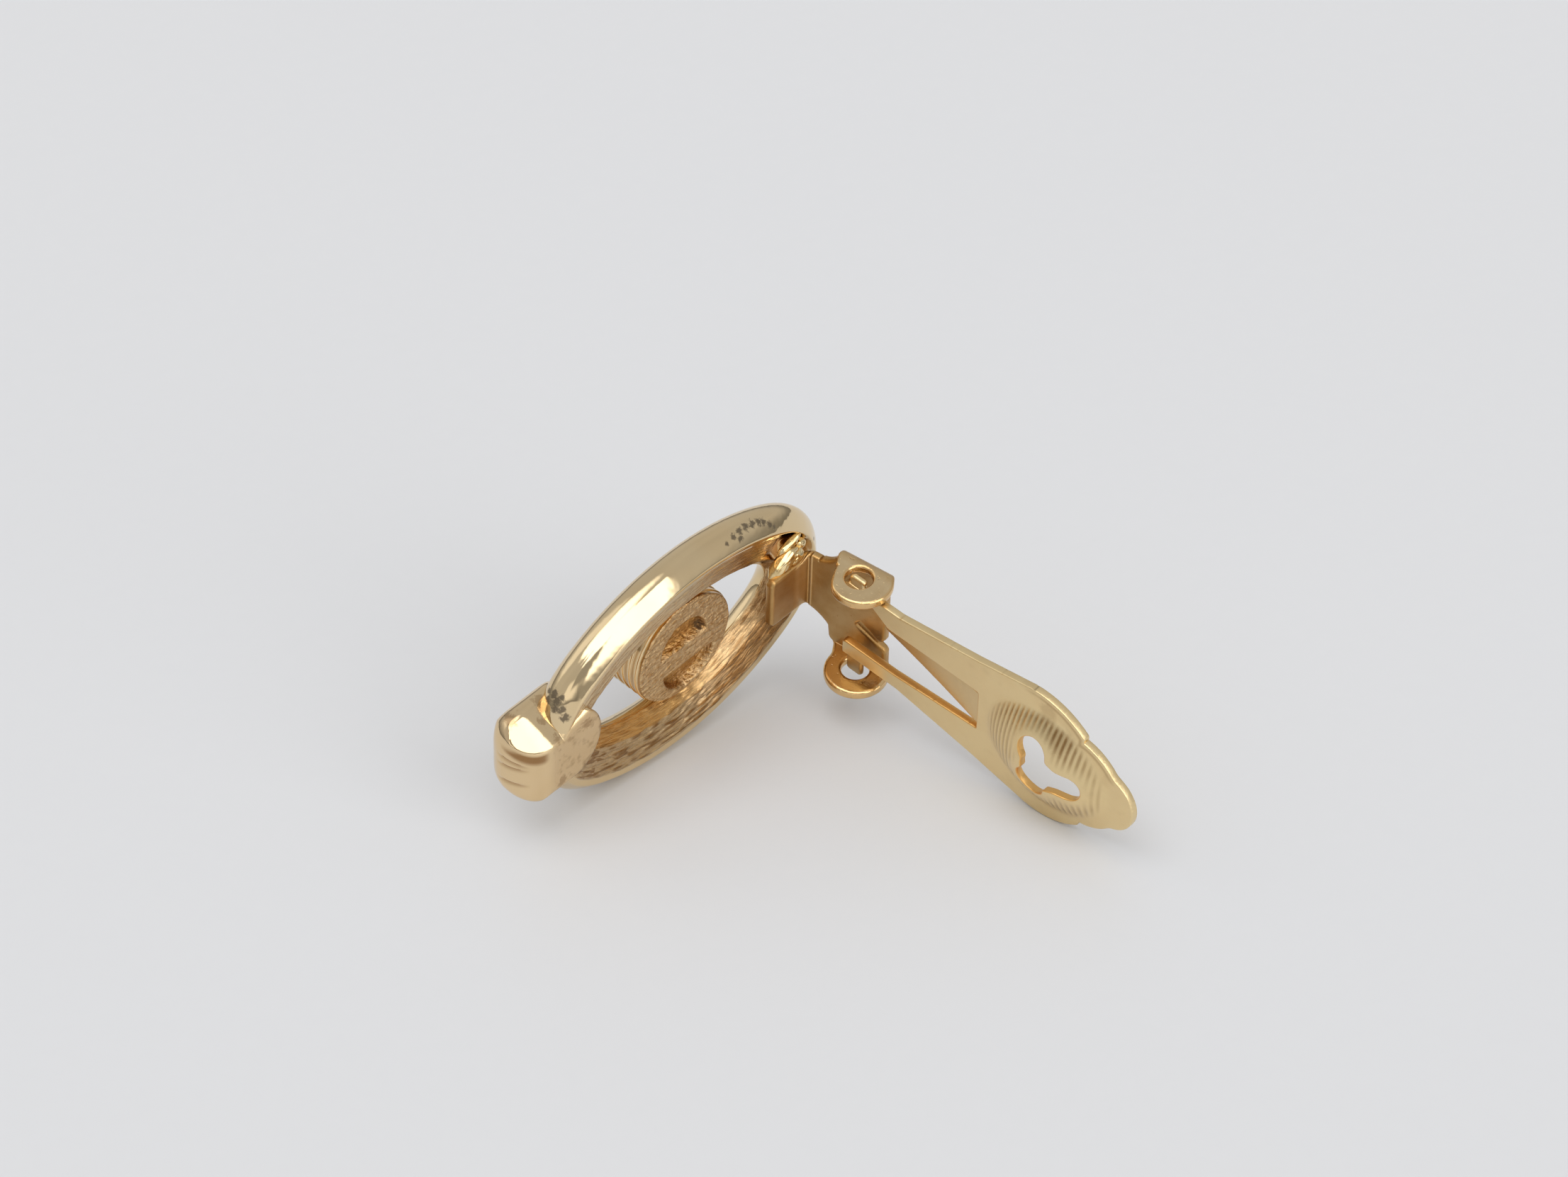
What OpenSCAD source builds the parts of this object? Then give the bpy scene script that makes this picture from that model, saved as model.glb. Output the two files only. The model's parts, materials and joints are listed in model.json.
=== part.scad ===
// Clip-on rhinestone earring, lying on its side with the clip open.
// Every piece is drawn face up: X runs from the clip's end to the lug, Y across the
// oval, and Z from the back of the jewel to its front. The plane Z = 0 is the back rim.
// at_rest() then stands the jewel on its side, as it lies on a table. Millimetres.

/* [Oval ring] */
// Length of the oval across its back rim
ring_len = 17; // [15:0.5:20]
// Width of the oval across its back rim
ring_wid = 10.6; // [10:0.2:12]
// Radius of the oval's two end arcs
ring_end_r = 3.9; // [3.5:0.1:4.2]
// Width of the metal band, seen from the front
band_w = 2.45; // [2.4:0.05:2.6]
// Thickness of the band from back to front
band_t = 2.3; // [1.8:0.1:2.8]
// Width of the dished back face, out to in
back_w = 1.8; // [1.6:0.05:2]
// How far the outer wall swells out past the back rim
wall_swell = 0.8; // [0.5:0.05:0.9]
// How much of that swell is lost at the lug
swell_loss = 0.6; // [0:0.1:0.8]
// How deep the back face is dished at its inner edge
dish = 0.4; // [0.2:0.05:0.6]
// Extra depth of the hollow beside the stem
hollow_d = 0.7; // [0:0.1:0.9]

/* [Stone cup] */
// Outer radius of the cup that holds the stone
cup_r = 3.02; // [3:0.02:3.2]
// Depth of the cup's back face below the back rim
cup_back = 0.65; // [0.4:0.05:0.9]
// Offset of the cup's centre from the middle of the oval, toward the clip
cup_shift = 0.3; // [0:0.05:0.5]
// Radius of the two half-round recesses in the cup's back
recess_r = 2.1; // [1.8:0.05:2.3]
// Width of the bar left between the two recesses
recess_bar = 1.1; // [0.8:0.1:1.4]
// Depth of the two recesses
recess_d = 0.45; // [0.3:0.05:0.6]
// Number of fine ridges round the cup's wall
ridge_count = 4; // [2:1:5]

/* [Stone] */
// Radius of the stone at its girdle
stone_r = 2.6; // [2.4:0.05:2.65]
// Height of the stone above its girdle
crown_h = 0.95; // [0.7:0.05:1.2]
// Depth of the stone below its girdle
pavilion_h = 1.15; // [0.8:0.05:1.2]

/* [Lug] */
// Length of the square lug along the oval
lug_len = 5; // [4.6:0.1:5.6]
// Width of the lug across the oval
lug_wid = 4.8; // [4.6:0.1:5.2]
// Thickness of the lug from back to front
lug_t = 2.8; // [2.6:0.1:3]
// Distance of the lug's outer end from the middle of the oval
lug_end = 10.9; // [10.6:0.1:11.2]
// Radius that rounds the whole lug like a pillow
lug_pillow_r = 2.95; // [2.9:0.05:3.2]

/* [Hinge bracket] */
// Thickness of the bracket's sheet
bracket_t = 0.48; // [0.44:0.02:0.52]
// Distance of the hinge axis from the middle of the oval
hinge_x = 7.15; // [7:0.05:7.4]
// Distance of the hinge axis behind the back rim
hinge_drop = 3.95; // [3.6:0.05:4.3]
// Width of the bracket outside its two ears
ears_w = 6.9; // [6.6:0.1:7]
// Radius of each ear's round end
ear_r = 1.5; // [1.4:0.05:1.6]
// Radius of the hole in each ear
ear_hole_r = 0.66; // [0.62:0.02:0.72]
// Slant of the bracket's plate away from the jewel
plate_slant = 9; // [6:0.5:10]
// Width of the stem and of the plate where it leaves the jewel
stem_w = 3.5; // [3:0.1:3.9]

/* [Clip paddle] */
// Thickness of the paddle's sheet
paddle_t = 0.42; // [0.34:0.02:0.46]
// Length of the paddle from the hinge axis to its tip
paddle_len = 17.2; // [16:0.2:18]
// Half of the paddle's greatest width
paddle_half = 4.05; // [3.8:0.05:4.3]
// Slant of the open paddle away from the jewel
paddle_slant = 0.8; // [0:0.1:4]
// Height of the domed pad above the paddle's face
pad_h = 1.05; // [0.7:0.05:1.2]
// Length of the domed pad
pad_len = 7.2; // [7:0.1:7.6]
// Width of the domed pad
pad_wid = 6; // [5.4:0.1:6.2]
// Width of the slot that the spring tongue is cut from
slot_w = 2.45; // [2.2:0.05:2.6]

/* [Rest] */
// Lean of the jewel toward its open clip, in degrees
rest_lean = 10.2; // [9.8:0.05:10.5]

/* [Hidden] */
$fn = 96;
gap = 0.04;
far = 40;
gold = [0.86, 0.72, 0.44];
pale_gold = [0.82, 0.72, 0.50];
crystal = [0.86, 0.90, 0.94];

half_len = ring_len / 2;
half_wid = ring_wid / 2;
side_r = (pow(half_len - ring_end_r, 2) + pow(half_wid, 2) - pow(ring_end_r, 2))
    / (2 * (half_wid - ring_end_r));
side_angle = atan2(half_len - ring_end_r, side_r - half_wid);
swell_z = 1.05;
hollow_mid = 142;
hollow_span = 34;

recess_off = -0.4;
seat_z = cup_back + recess_d + 0.35;
girdle_z = seat_z + pavilion_h + gap;
lip_z = girdle_z + 0.35;

ear_in = ears_w / 2 - bracket_t;
plate_gap = 0.8;
plate_far = 1.05;
ears_mid = -0.35;
window_len = 1.4;
window_wid = 0.7;
lug_mid = lug_end - lug_len / 2;
lug_pillow_z = 0.6;
lug_off = 0.15;
lug_round = 1.2;
pad_mid = 12;
tab_w = 0.9;
prong_back = 0.7;
neck_len = 2.7;
blade_x = 7.4;
blade_half = 3.3;
wide_x = 11;
notch_x = 14.1;
lobe_r = 2.8;
tip_r = 1.75;

// The oval stands on one flat step of its side, rolled toward the lug until its weight
// is above that step, and the paddle stands on its lower lobe.
side_steps = 14;
rest_roll = -1.5 * 2 * side_angle / side_steps;
rest_z = ((side_r + wall_swell) * cos(side_angle / side_steps) - (side_r - half_wid) * cos(rest_roll)) * cos(rest_lean)
    - swell_z * sin(rest_lean);
box_mid_x = -0.87;
box_mid_y = 8.63;

module at_rest() {
    translate([box_mid_x, -box_mid_y, rest_z])
        rotate([90 - rest_lean, 0, 0])
            rotate([0, 0, rest_roll])
                children();
}

// Oval of four arcs: centre x and y, radius, first angle, turn, steps
ARCS = [
    [half_len - ring_end_r, 0, ring_end_r, side_angle - 90, 180 - 2 * side_angle, 22],
    [0, half_wid - side_r, side_r, 90 - side_angle, 2 * side_angle, side_steps],
    [ring_end_r - half_len, 0, ring_end_r, 90 + side_angle, 180 - 2 * side_angle, 22],
    [0, side_r - half_wid, side_r, 270 - side_angle, 2 * side_angle, side_steps]
];

// Points of the back rim, each with the direction that faces outward there
rim = [for (arc = ARCS, i = [0:arc[5] - 1]) let (a = arc[3] + arc[4] * i / arc[5])
    [arc[0] + arc[2] * cos(a), arc[1] + arc[2] * sin(a), a]];

// Extra depth of the back face in the hollow beside the stem
function hollow(a) = abs(a - hollow_mid) < hollow_span ? pow(cos(90 * (a - hollow_mid) / hollow_span), 2) : 0;

// Swell of the outer wall at direction a, with the lug at direction 0
function swell(a) = wall_swell * (1 - swell_loss * pow(max(0, cos(a)), 4));

// Section of the band at direction a: outward distance from the back rim, then height
function band_section(a) = let (out = swell(a), mid = (out - band_w) / 2, dome_r = (out + band_w) / 2) concat(
    [for (i = [0:4]) [out * sin(18 * i), swell_z * i / 5]],
    [for (t = [0:18:162]) [mid + dome_r * cos(t), swell_z + (band_t - swell_z) * sin(t)]],
    [for (f = [1, 0.75, 0.5, 0.25]) [-back_w * f, dish * f + hollow_d * hollow(a) * sin(180 * f)]]
);

module oval_ring() {
    sections = [for (p = rim) [for (q = band_section(p[2]))
        [p[0] + q[0] * cos(p[2]), p[1] + q[0] * sin(p[2]), q[1]]]];
    n = len(sections);
    m = len(sections[0]);
    polyhedron(
        [for (section = sections) each section],
        [for (i = [0:n - 1], j = [0:m - 1])
            let (a = i * m + j, b = i * m + (j + 1) % m, c = (i + 1) % n * m + (j + 1) % m, d = (i + 1) % n * m + j)
            each [[a, b, c], [a, c, d]]]
    );
}

function ridge(i) = let (z = cup_back + 0.3 + 0.42 * i)
    [[cup_r - 0.02, z], [cup_r - 0.12, z + 0.1], [cup_r - 0.12, z + 0.2], [cup_r - 0.02, z + 0.3]];

module cup_body() {
    rotate_extrude()
        polygon(concat(
            [[0, cup_back], [cup_r - 0.12, cup_back], [cup_r - 0.02, cup_back + 0.1]],
            [for (i = [0:ridge_count - 1]) each ridge(i)],
            [[cup_r - 0.02, lip_z - 0.2], [cup_r - 0.2, lip_z], [0, lip_z]]
        ));
}

module cup_seat() {
    rotate_extrude()
        polygon([
            [0, seat_z],
            [stone_r * 0.35, seat_z],
            [stone_r + gap, girdle_z - gap],
            [stone_r + gap, girdle_z + 0.2],
            [stone_r - 0.1, girdle_z + 0.36],
            [stone_r - 0.1, far],
            [0, far]
        ]);
}

module cup_recesses() {
    for (s = [1, -1])
        translate([0, recess_off, 0])
            intersection() {
                cylinder(r = recess_r, h = cup_back + recess_d);
                translate([-recess_r, s > 0 ? recess_bar / 2 : -recess_bar / 2 - recess_r, -1])
                    cube([2 * recess_r, recess_r, far]);
            }
}

// The lug from the side, with a round end
module lug_profile() {
    translate([lug_end - lug_len, 0])
        square([lug_len - lug_round, lug_t]);
    for (z = [lug_round, lug_t - lug_round])
        translate([lug_end - lug_round, z])
            circle(r = lug_round);
    translate([lug_end - lug_round, lug_round])
        square([lug_round, lug_t - 2 * lug_round]);
}

module lug() {
    intersection() {
        translate([0, far / 2, 0])
            rotate([90, 0, 0])
                linear_extrude(far)
                    lug_profile();
        linear_extrude(lug_t) {
            translate([lug_end - lug_len + lug_wid / 2, lug_off])
                circle(r = lug_wid / 2);
            translate([lug_end - lug_len / 2, lug_off - lug_wid / 2])
                square([lug_len / 2, lug_wid]);
        }
        translate([lug_mid, lug_off, lug_pillow_z])
            sphere(r = lug_pillow_r);
    }
}

// Fine grooves down the lug's end face
module lug_grooves() {
    for (y = [-1.2, -0.5, 0.5, 1.2])
        translate([lug_end + 0.08, y, lug_t * 0.4])
            cylinder(r = 0.16, h = far, $fn = 24);
}

// The stem lies on the ring's back, and the plate leaves it backward.
// The plate's own frame: X runs away from the jewel, Y across, Z toward the paddle.
module plate_frame() {
    translate([-hinge_x, 0, -hinge_drop])
        rotate([0, 90 + plate_slant, 0])
            children();
}

// Half of the plate, which flares out to one ear
module plate_side(s) {
    reach = ears_w / 2 + s * ears_mid;
    flare = reach - stem_w / 2;
    difference() {
        translate([-ear_r - flare, s > 0 ? 0 : -reach])
            square([ear_r + flare + plate_far, reach]);
        translate([-ear_r - flare, s * reach])
            circle(r = flare);
    }
}

module plate_outline() {
    root = hinge_drop - 0.1;
    difference() {
        union() {
            translate([-root, -stem_w / 2])
                square([root + plate_far, stem_w]);
            plate_side(1);
            plate_side(-1);
        }
        translate([-0.1, ears_mid - 1.4])
            rotate(-36)
                square([window_len, window_wid], center = true);
    }
}

module ear_outline() {
    circle(r = ear_r);
    translate([-ear_r, -plate_gap - bracket_t])
        square([ear_r + plate_far, plate_gap + bracket_t]);
}

module hinge_bracket() {
    translate([-hinge_x - 0.75, -stem_w / 2 + 0.2, -0.25])
        cube([2.35, stem_w - 0.4, bracket_t + 0.25]);
    plate_frame()
        translate([0, 0, -plate_gap - bracket_t])
            linear_extrude(bracket_t)
                plate_outline();
    for (s = [1, -1])
        plate_frame()
            translate([0, ears_mid + (s > 0 ? ears_w / 2 : -ear_in), 0])
                rotate([90, 0, 0])
                    linear_extrude(bracket_t)
                        ear_outline();
}

module ear_holes() {
    translate([-hinge_x, 0, -hinge_drop])
        rotate([90, 0, 0])
            cylinder(r = ear_hole_r, h = 2 * ears_w, center = true);
}

module solder() {
    translate([-6.8, 1.85, 0.05])
        sphere(r = 0.7);
}

module jewel_frame() {
    color(gold)
        at_rest()
            difference() {
                union() {
                    oval_ring();
                    translate([-cup_shift, 0, 0])
                        cup_body();
                    lug();
                    hinge_bracket();
                    solder();
                }
                translate([-cup_shift, 0, 0]) {
                    cup_seat();
                    cup_recesses();
                }
                lug_grooves();
                ear_holes();
            }
}

// Ring of points for the stone's facets
function facet_ring(n, r, z, turn) = [for (i = [0:n - 1])
    [r * cos(360 * i / n + turn), r * sin(360 * i / n + turn), z]];

module rhinestone() {
    points = concat(
        facet_ring(8, stone_r * 0.54, crown_h, 22.5),
        facet_ring(8, stone_r * 0.80, crown_h * 0.56, 0),
        facet_ring(16, stone_r, 0.06, 11.25),
        facet_ring(16, stone_r, -0.06, 11.25),
        facet_ring(8, stone_r * 0.36, 0.12 - pavilion_h, 0)
    );
    color(crystal)
        at_rest()
            translate([-cup_shift, 0, girdle_z])
                hull()
                    polyhedron(points, [[for (i = [0:len(points) - 1]) i]]);
}

// The paddle's own frame: X runs from the hinge to the tip, Y across,
// and Z toward the side that presses the ear.
module paddle_frame() {
    translate([-hinge_x, 0, -hinge_drop])
        rotate([0, 90 + paddle_slant, 0])
            children();
}

module paddle_outline() {
    neck = ear_in + ears_mid - 0.12;
    translate([-prong_back, -neck])
        square([neck_len + prong_back + 0.1, 2 * neck]);
    polygon([
        [neck_len, -neck], [blade_x, -blade_half], [wide_x, -paddle_half],
        [wide_x, paddle_half], [blade_x, blade_half], [neck_len, neck]
    ]);
    intersection() {
        translate([wide_x + 0.4, 0])
            circle(r = paddle_half);
        translate([wide_x - 2, -far / 2])
            square([notch_x - wide_x + 2, far]);
    }
    translate([notch_x - 0.4, 0])
        circle(r = lobe_r);
    translate([paddle_len - tip_r, 0])
        circle(r = tip_r);
}

module trefoil() {
    translate([12.25, 0])
        circle(r = 1);
    translate([12.2, -0.72])
        square([1.6, 1.44]);
    translate([13.8, 0])
        circle(r = 0.72);
    for (s = [1, -1])
        translate([11.75, s * 1])
            circle(r = 0.8);
}

// Spindle whose cap is the domed pad, lowered by drop
module pad_spindle(drop) {
    half = pad_len / 2;
    across = pad_wid / 2;
    axis_z = (pow(across, 2) - pow(pad_h, 2)) / (2 * pad_h);
    arc_r = (pow(half, 2) + pow(pad_h, 2)) / (2 * pad_h);
    translate([pad_mid, 0, -axis_z])
        rotate([0, 90, 0])
            rotate_extrude()
                intersection() {
                    translate([axis_z + pad_h - arc_r - drop, 0])
                        circle(r = arc_r, $fn = 180);
                    translate([0, -half - 1])
                        square([far, 2 * half + 2]);
                }
}

module pad_cap(drop) {
    intersection() {
        pad_spindle(drop);
        translate([pad_mid - far / 2, -far / 2, -drop])
            cube([far, far, far]);
    }
}

// Spring tongue, cut from the slot and bent back toward the bracket's plate
module tongue() {
    w = slot_w - 0.3;
    translate([0, w / 2, 0])
        rotate([90, 0, 0])
            linear_extrude(w)
                polygon([
                    [7.9, 0], [6.6, -0.04], [5, -0.2], [3, -0.47], [1, -0.7],
                    [1, -0.7 - paddle_t * 0.7], [3, -0.47 - paddle_t * 0.85],
                    [5, -0.2 - paddle_t], [6.6, -0.04 - paddle_t], [7.9, -paddle_t]
                ]);
}

// Flat tabs on the paddle's two prongs, which turn in the holes of the ears
module pivot_tabs() {
    inner = ear_in + ears_mid - 0.3;
    outer = ears_w / 2 - 0.1;
    translate([-tab_w / 2, -outer + ears_mid, -paddle_t])
        cube([tab_w, outer - ears_mid - inner, paddle_t]);
    translate([-tab_w / 2, inner, -paddle_t])
        cube([tab_w, outer + ears_mid - inner, paddle_t]);
}

module clip_paddle() {
    color(pale_gold)
        at_rest()
            paddle_frame()
                translate([0, 0, paddle_t / 2]) {
                    difference() {
                        union() {
                            translate([0, 0, -paddle_t])
                                linear_extrude(paddle_t)
                                    paddle_outline();
                            pad_cap(0);
                        }
                        translate([0, 0, -paddle_t])
                            pad_cap(paddle_t * 0.4);
                        translate([0, 0, -1])
                            linear_extrude(4)
                                trefoil();
                        translate([-2, -slot_w / 2, -1])
                            cube([9.7, slot_w, 2]);
                    }
                    tongue();
                    pivot_tabs();
                }
}

jewel_frame();
rhinestone();
clip_paddle();
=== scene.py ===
# %% [markdown]
# # A clip-on earring, seen from the back
# The earring is an oval ring of cast metal with a small round stone cup in its middle,
# a square lug at one end and a hinged clip at the other. It lies on its side with the
# clip open. The solids give its sizes and its hinge. This lesson gives it its looks:
# a soft cast shape, a polished outside, a back that was brushed by hand, and a clip
# that was pressed from thin sheet.

# %% Load the solids
import json

import bmesh
import bpy
import numpy as np
from mathutils import Matrix, Vector, noise


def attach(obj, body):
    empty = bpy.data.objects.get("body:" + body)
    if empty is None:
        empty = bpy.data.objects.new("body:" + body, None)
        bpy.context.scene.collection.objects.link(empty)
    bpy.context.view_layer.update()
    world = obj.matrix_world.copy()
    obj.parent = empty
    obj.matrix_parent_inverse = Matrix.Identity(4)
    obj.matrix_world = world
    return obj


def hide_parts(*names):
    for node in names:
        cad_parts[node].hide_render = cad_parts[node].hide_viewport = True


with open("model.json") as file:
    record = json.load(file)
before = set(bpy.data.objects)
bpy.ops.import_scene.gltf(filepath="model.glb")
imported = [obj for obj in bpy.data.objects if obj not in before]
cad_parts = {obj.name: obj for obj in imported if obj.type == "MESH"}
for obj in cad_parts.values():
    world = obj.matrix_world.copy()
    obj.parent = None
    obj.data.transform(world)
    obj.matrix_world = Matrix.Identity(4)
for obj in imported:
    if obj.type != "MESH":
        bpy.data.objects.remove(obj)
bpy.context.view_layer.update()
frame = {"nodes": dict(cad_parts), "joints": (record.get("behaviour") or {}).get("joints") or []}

# %% [markdown]
# ## One place for everything
# The jewel is easiest to draw face up: X toward the lug, Y across the oval, Z from the
# back to the front, in millimetres. The real one rests on its side, leaning and rolled
# a little. One matrix turns the drawing into that place, and the hinge, whose point the
# solids give, pins the two together. The paddle is drawn in a frame of its own, with X
# from the hinge to the tip.

# %% From the drawing to the table
MM = 0.001
LEAN, ROLL = 10.2, -7.25371
HINGE = Vector((-7.15, -0.35, -3.95))
EARS_MID = -0.35
PLATE_SLANT, PADDLE_SLANT = 9.0, 0.8


def turned(degrees, axis):
    """A turn about an axis."""
    return Matrix.Rotation(np.radians(degrees), 4, axis)


STANCE = turned(90 - LEAN, "X") @ turned(ROLL, "Z")
hinge_point = Vector(frame["joints"][0]["pos_m"])
JEWEL = (Matrix.Translation(hinge_point) @ STANCE @ Matrix.Scale(MM, 4)
         @ Matrix.Translation(-HINGE))
ON_AXIS = Matrix.Translation((HINGE.x, 0, HINGE.z))
PLATE = JEWEL @ ON_AXIS @ turned(90 + PLATE_SLANT, "Y")
PADDLE = JEWEL @ ON_AXIS @ turned(90 + PADDLE_SLANT, "Y")
print("hinge at", tuple(round(c / MM, 3) for c in hinge_point), "mm")

# %% [markdown]
# ## Node maths in plain Python
# A long chain of Math nodes is hard to read. A small class wraps a socket, so that an
# ordinary expression such as `1 - mask * 0.5` adds the nodes by itself. Every other
# node comes from one method, which takes the node's type, its settings and its sockets.

# %% A socket with operators, and a bench to build nodes on


class Wire:
    """An output socket that Python's operators work on."""

    def __init__(self, bench, socket):
        self.bench, self.socket = bench, socket

    def maths(self, operation, *values, clamp=False):
        """A Math node on these values."""
        settings = {"operation": operation, "use_clamp": clamp}
        return self.bench.node("ShaderNodeMath", settings, dict(enumerate(values)))

    def __add__(self, other):
        return self.maths("ADD", self, other)

    def __sub__(self, other):
        return self.maths("SUBTRACT", self, other)

    def __rsub__(self, other):
        return self.maths("SUBTRACT", other, self)

    def __mul__(self, other):
        return self.maths("MULTIPLY", self, other)

    def __truediv__(self, other):
        return self.maths("DIVIDE", self, other)

    def __pow__(self, other):
        return self.maths("POWER", self, other)

    __radd__, __rmul__ = __add__, __mul__

    def sine(self):
        return self.maths("SINE", self)

    def size(self):
        return self.maths("ABSOLUTE", self)

    def most(self, other):
        return self.maths("MAXIMUM", self, other)

    def clamped(self):
        return self.maths("ADD", self, 0.0, clamp=True)

    def ramp(self, low, high):
        """0 below low, 1 above high and smooth between; low may be the larger one."""
        return self.bench.node(
            "ShaderNodeMapRange", {"interpolation_type": "SMOOTHSTEP"},
            {"Value": self, "From Min": low, "From Max": high})


class Bench:
    """Builds the nodes of one tree."""

    def __init__(self, tree):
        self.tree = tree

    def node(self, kind, settings=(), sockets=(), out=0):
        """Adds a node: its settings first, then a value or a link for each socket."""
        made = self.tree.nodes.new(kind)
        for name, value in dict(settings).items():
            setattr(made, name, value)
        for key, value in dict(sockets).items():
            if isinstance(value, Wire):
                self.tree.links.new(value.socket, made.inputs[key])
            else:
                made.inputs[key].default_value = value
        return Wire(self, made.outputs[out]) if made.outputs else None

    def grain(self, place, scale, detail=2.0, rough=0.5):
        """Soft noise from 0 to 1, with that many waves to a unit of the place."""
        return self.node("ShaderNodeTexNoise", {}, {
            "Vector": place, "Scale": scale, "Detail": detail, "Roughness": rough})

    def tint(self, share, under, over):
        """Colour under, covered by colour over as far as share goes."""
        colours = {6: under, 7: over}
        colours = {k: v if isinstance(v, Wire) else (*v, 1.0) for k, v in colours.items()}
        return self.node("ShaderNodeMix", {"data_type": "RGBA"}, {0: share, **colours}, 2)

    def stretched(self, place, stretch):
        """A place with each of its numbers multiplied, which narrows a pattern."""
        return self.node("ShaderNodeVectorMath", {"operation": "MULTIPLY"},
                         {0: place, 1: stretch})

    def parts(self, place):
        """The three numbers of a place."""
        split = self.node("ShaderNodeSeparateXYZ", {}, {0: place}).socket.node
        return [Wire(self, s) for s in split.outputs]

    def attribute(self, name):
        """A number that the mesh stores for each point."""
        return self.node("ShaderNodeAttribute", {"attribute_name": name}, {}, "Fac")

    def show(self, shader, kind="ShaderNodeOutputMaterial"):
        """Links a shader to the tree's output."""
        self.node(kind, {}, {"Surface": shader})


def drawing_place(bench, drawing):
    """Object coordinates, turned back into a drawing's own millimetres."""
    back = drawing.inverted()
    place = bench.node("ShaderNodeTexCoord", {}, {}, "Object")
    return bench.node("ShaderNodeMapping", {}, {
        "Vector": place, "Location": back.translation,
        "Rotation": back.to_3x3().normalized().to_euler("XYZ"),
        "Scale": (1 / MM, 1 / MM, 1 / MM)})


# %% [markdown]
# ## Gold-coloured plating
# All the metal is the same pale plating, and what differs is how its surface was
# worked. Polished places mirror the room, brushed ones break it into glints, and dirt
# and wear have gathered brown in what is low. Six separate materials would repeat most
# of their nodes. So one recipe makes every finish: a base colour, a brown one for what is
# low or stained and for painted shade, a roughness and a bump. Each stain, speck or patch
# of painted shade is a soft ball with a ragged edge, at its own place in the drawing.

# %% Colours, and the finish of each piece
PALE, WARM, ORANGE = (0.80, 0.625, 0.375), (0.72, 0.50, 0.24), (0.80, 0.44, 0.12)
BROWN, DARK = (0.30, 0.15, 0.05), (0.035, 0.028, 0.03)
# name: base colour, colour of what is low, stained or painted as shade, roughness where polished
# and dull, relief in mm
FINISHES = {
    "ring_gold": (PALE, BROWN, (0.06, 0.2), 0.1),
    "cup_gold": ((0.82, 0.63, 0.37), (0.44, 0.23, 0.07), (0.14, 0.28), 0.14),
    "lug_gold": ((0.82, 0.625, 0.37), BROWN, (0.055, 0.34), 0.03),
    "bracket_gold": ((0.82, 0.64, 0.38), (0.47, 0.27, 0.09), (0.12, 0.42), 0.012),
    "solder_gold": ((0.84, 0.66, 0.36), (0.42, 0.27, 0.1), (0.08, 0.25), 0.006),
    "paddle_gold": ((0.82, 0.645, 0.355), (0.34, 0.20, 0.08), (0.16, 0.36), 0.008)}
print(len(FINISHES), "finishes")

# %% The recipe for plated metal


def spot_mask(bench, place, spots, ragged, fineness=2.0):
    """1 in the middle of the nearest spot, 0 outside them all. A spot is x, y, z, radius."""
    mask = None
    rough_edge = (bench.grain(place, fineness, 4.0, 0.65) - 0.5) * ragged
    for x, y, z, radius in spots:
        reach = bench.node("ShaderNodeVectorMath", {"operation": "DISTANCE"},
                           {0: place, 1: (x, y, z)}, "Value")
        ball = (1 - reach / radius + rough_edge).ramp(0.0, 0.6)
        mask = ball if mask is None else mask.most(ball)
    return mask


def plated(name, drawing, paint):
    """A finish; paint(bench, place) gives how brown, how dull and how high, and specks."""
    base, low, roughness, relief = FINISHES[name]
    material = bpy.data.materials.new(name)
    material.use_nodes = True
    material.node_tree.nodes.clear()
    bench = Bench(material.node_tree)
    place = drawing_place(bench, drawing)
    brown, dull, height, spots = paint(bench, place)
    cloud = bench.grain(place, 0.45, 3.0).ramp(0.35, 0.7)
    colour = bench.tint(cloud * 0.2, base, WARM)
    colour = bench.tint(bench.attribute("orange") * 0.8, colour, ORANGE)
    colour = bench.tint(brown.clamped(), colour, low)
    rough = roughness[0] + (roughness[1] - roughness[0]) * dull.clamped()
    if spots:
        black = spot_mask(bench, place, spots, 2.4, 6.0)
        colour = bench.tint(black * 0.72, colour, DARK)
        rough = rough + black * 0.3
    bump = bench.node("ShaderNodeBump", {}, {
        "Strength": 1.0, "Distance": relief * MM, "Height": height})
    shader = bench.node("ShaderNodeBsdfPrincipled", {}, {
        "Base Color": colour, "Metallic": 1.0, "Roughness": rough, "Normal": bump})
    bench.show(shader)
    print(f"{name}: {len(material.node_tree.nodes)} nodes")
    return material


# %% [markdown]
# ## From points to a piece
# Every piece is made as plain arrays of points and faces in its drawing, and one
# function puts it in its place, smooths it and lets it ride on its body. The place goes
# into the mesh itself, so the object stays at the origin.

# %% Make a piece


def mesh_from(name, points, faces, values=(), map_uv=None):
    """A smooth mesh object from points and faces, with named values for each point."""
    mesh = bpy.data.meshes.new(name)
    mesh.from_pydata([tuple(map(float, p)) for p in points], [], faces)
    for key, value in dict(values).items():
        mesh.attributes.new(key, "FLOAT", "POINT").data.foreach_set(
            "value", np.asarray(value, np.float32))
    if map_uv is not None:
        corners = np.zeros(len(mesh.loops), np.int32)
        mesh.loops.foreach_get("vertex_index", corners)
        layer = mesh.uv_layers.new(name="brushed")
        layer.data.foreach_set("uv", np.asarray(map_uv(corners), np.float32).ravel())
    mesh.polygons.foreach_set("use_smooth", np.ones(len(mesh.polygons), bool))
    mesh.update()
    piece = bpy.data.objects.new(name, mesh)
    bpy.context.scene.collection.objects.link(piece)
    return piece


def finish_piece(piece, drawing, material, body, node):
    """Puts a drawn piece in its place, gives it its finish and lets it ride on its body."""
    piece.data.transform(drawing)
    if not piece.data.materials:
        piece.data.materials.append(material)
    piece.data.update()
    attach(piece, body)
    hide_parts(node)
    count = sum(len(p.vertices) - 2 for p in piece.data.polygons)
    print(f"{piece.name}: {count} triangles")
    return piece


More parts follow.
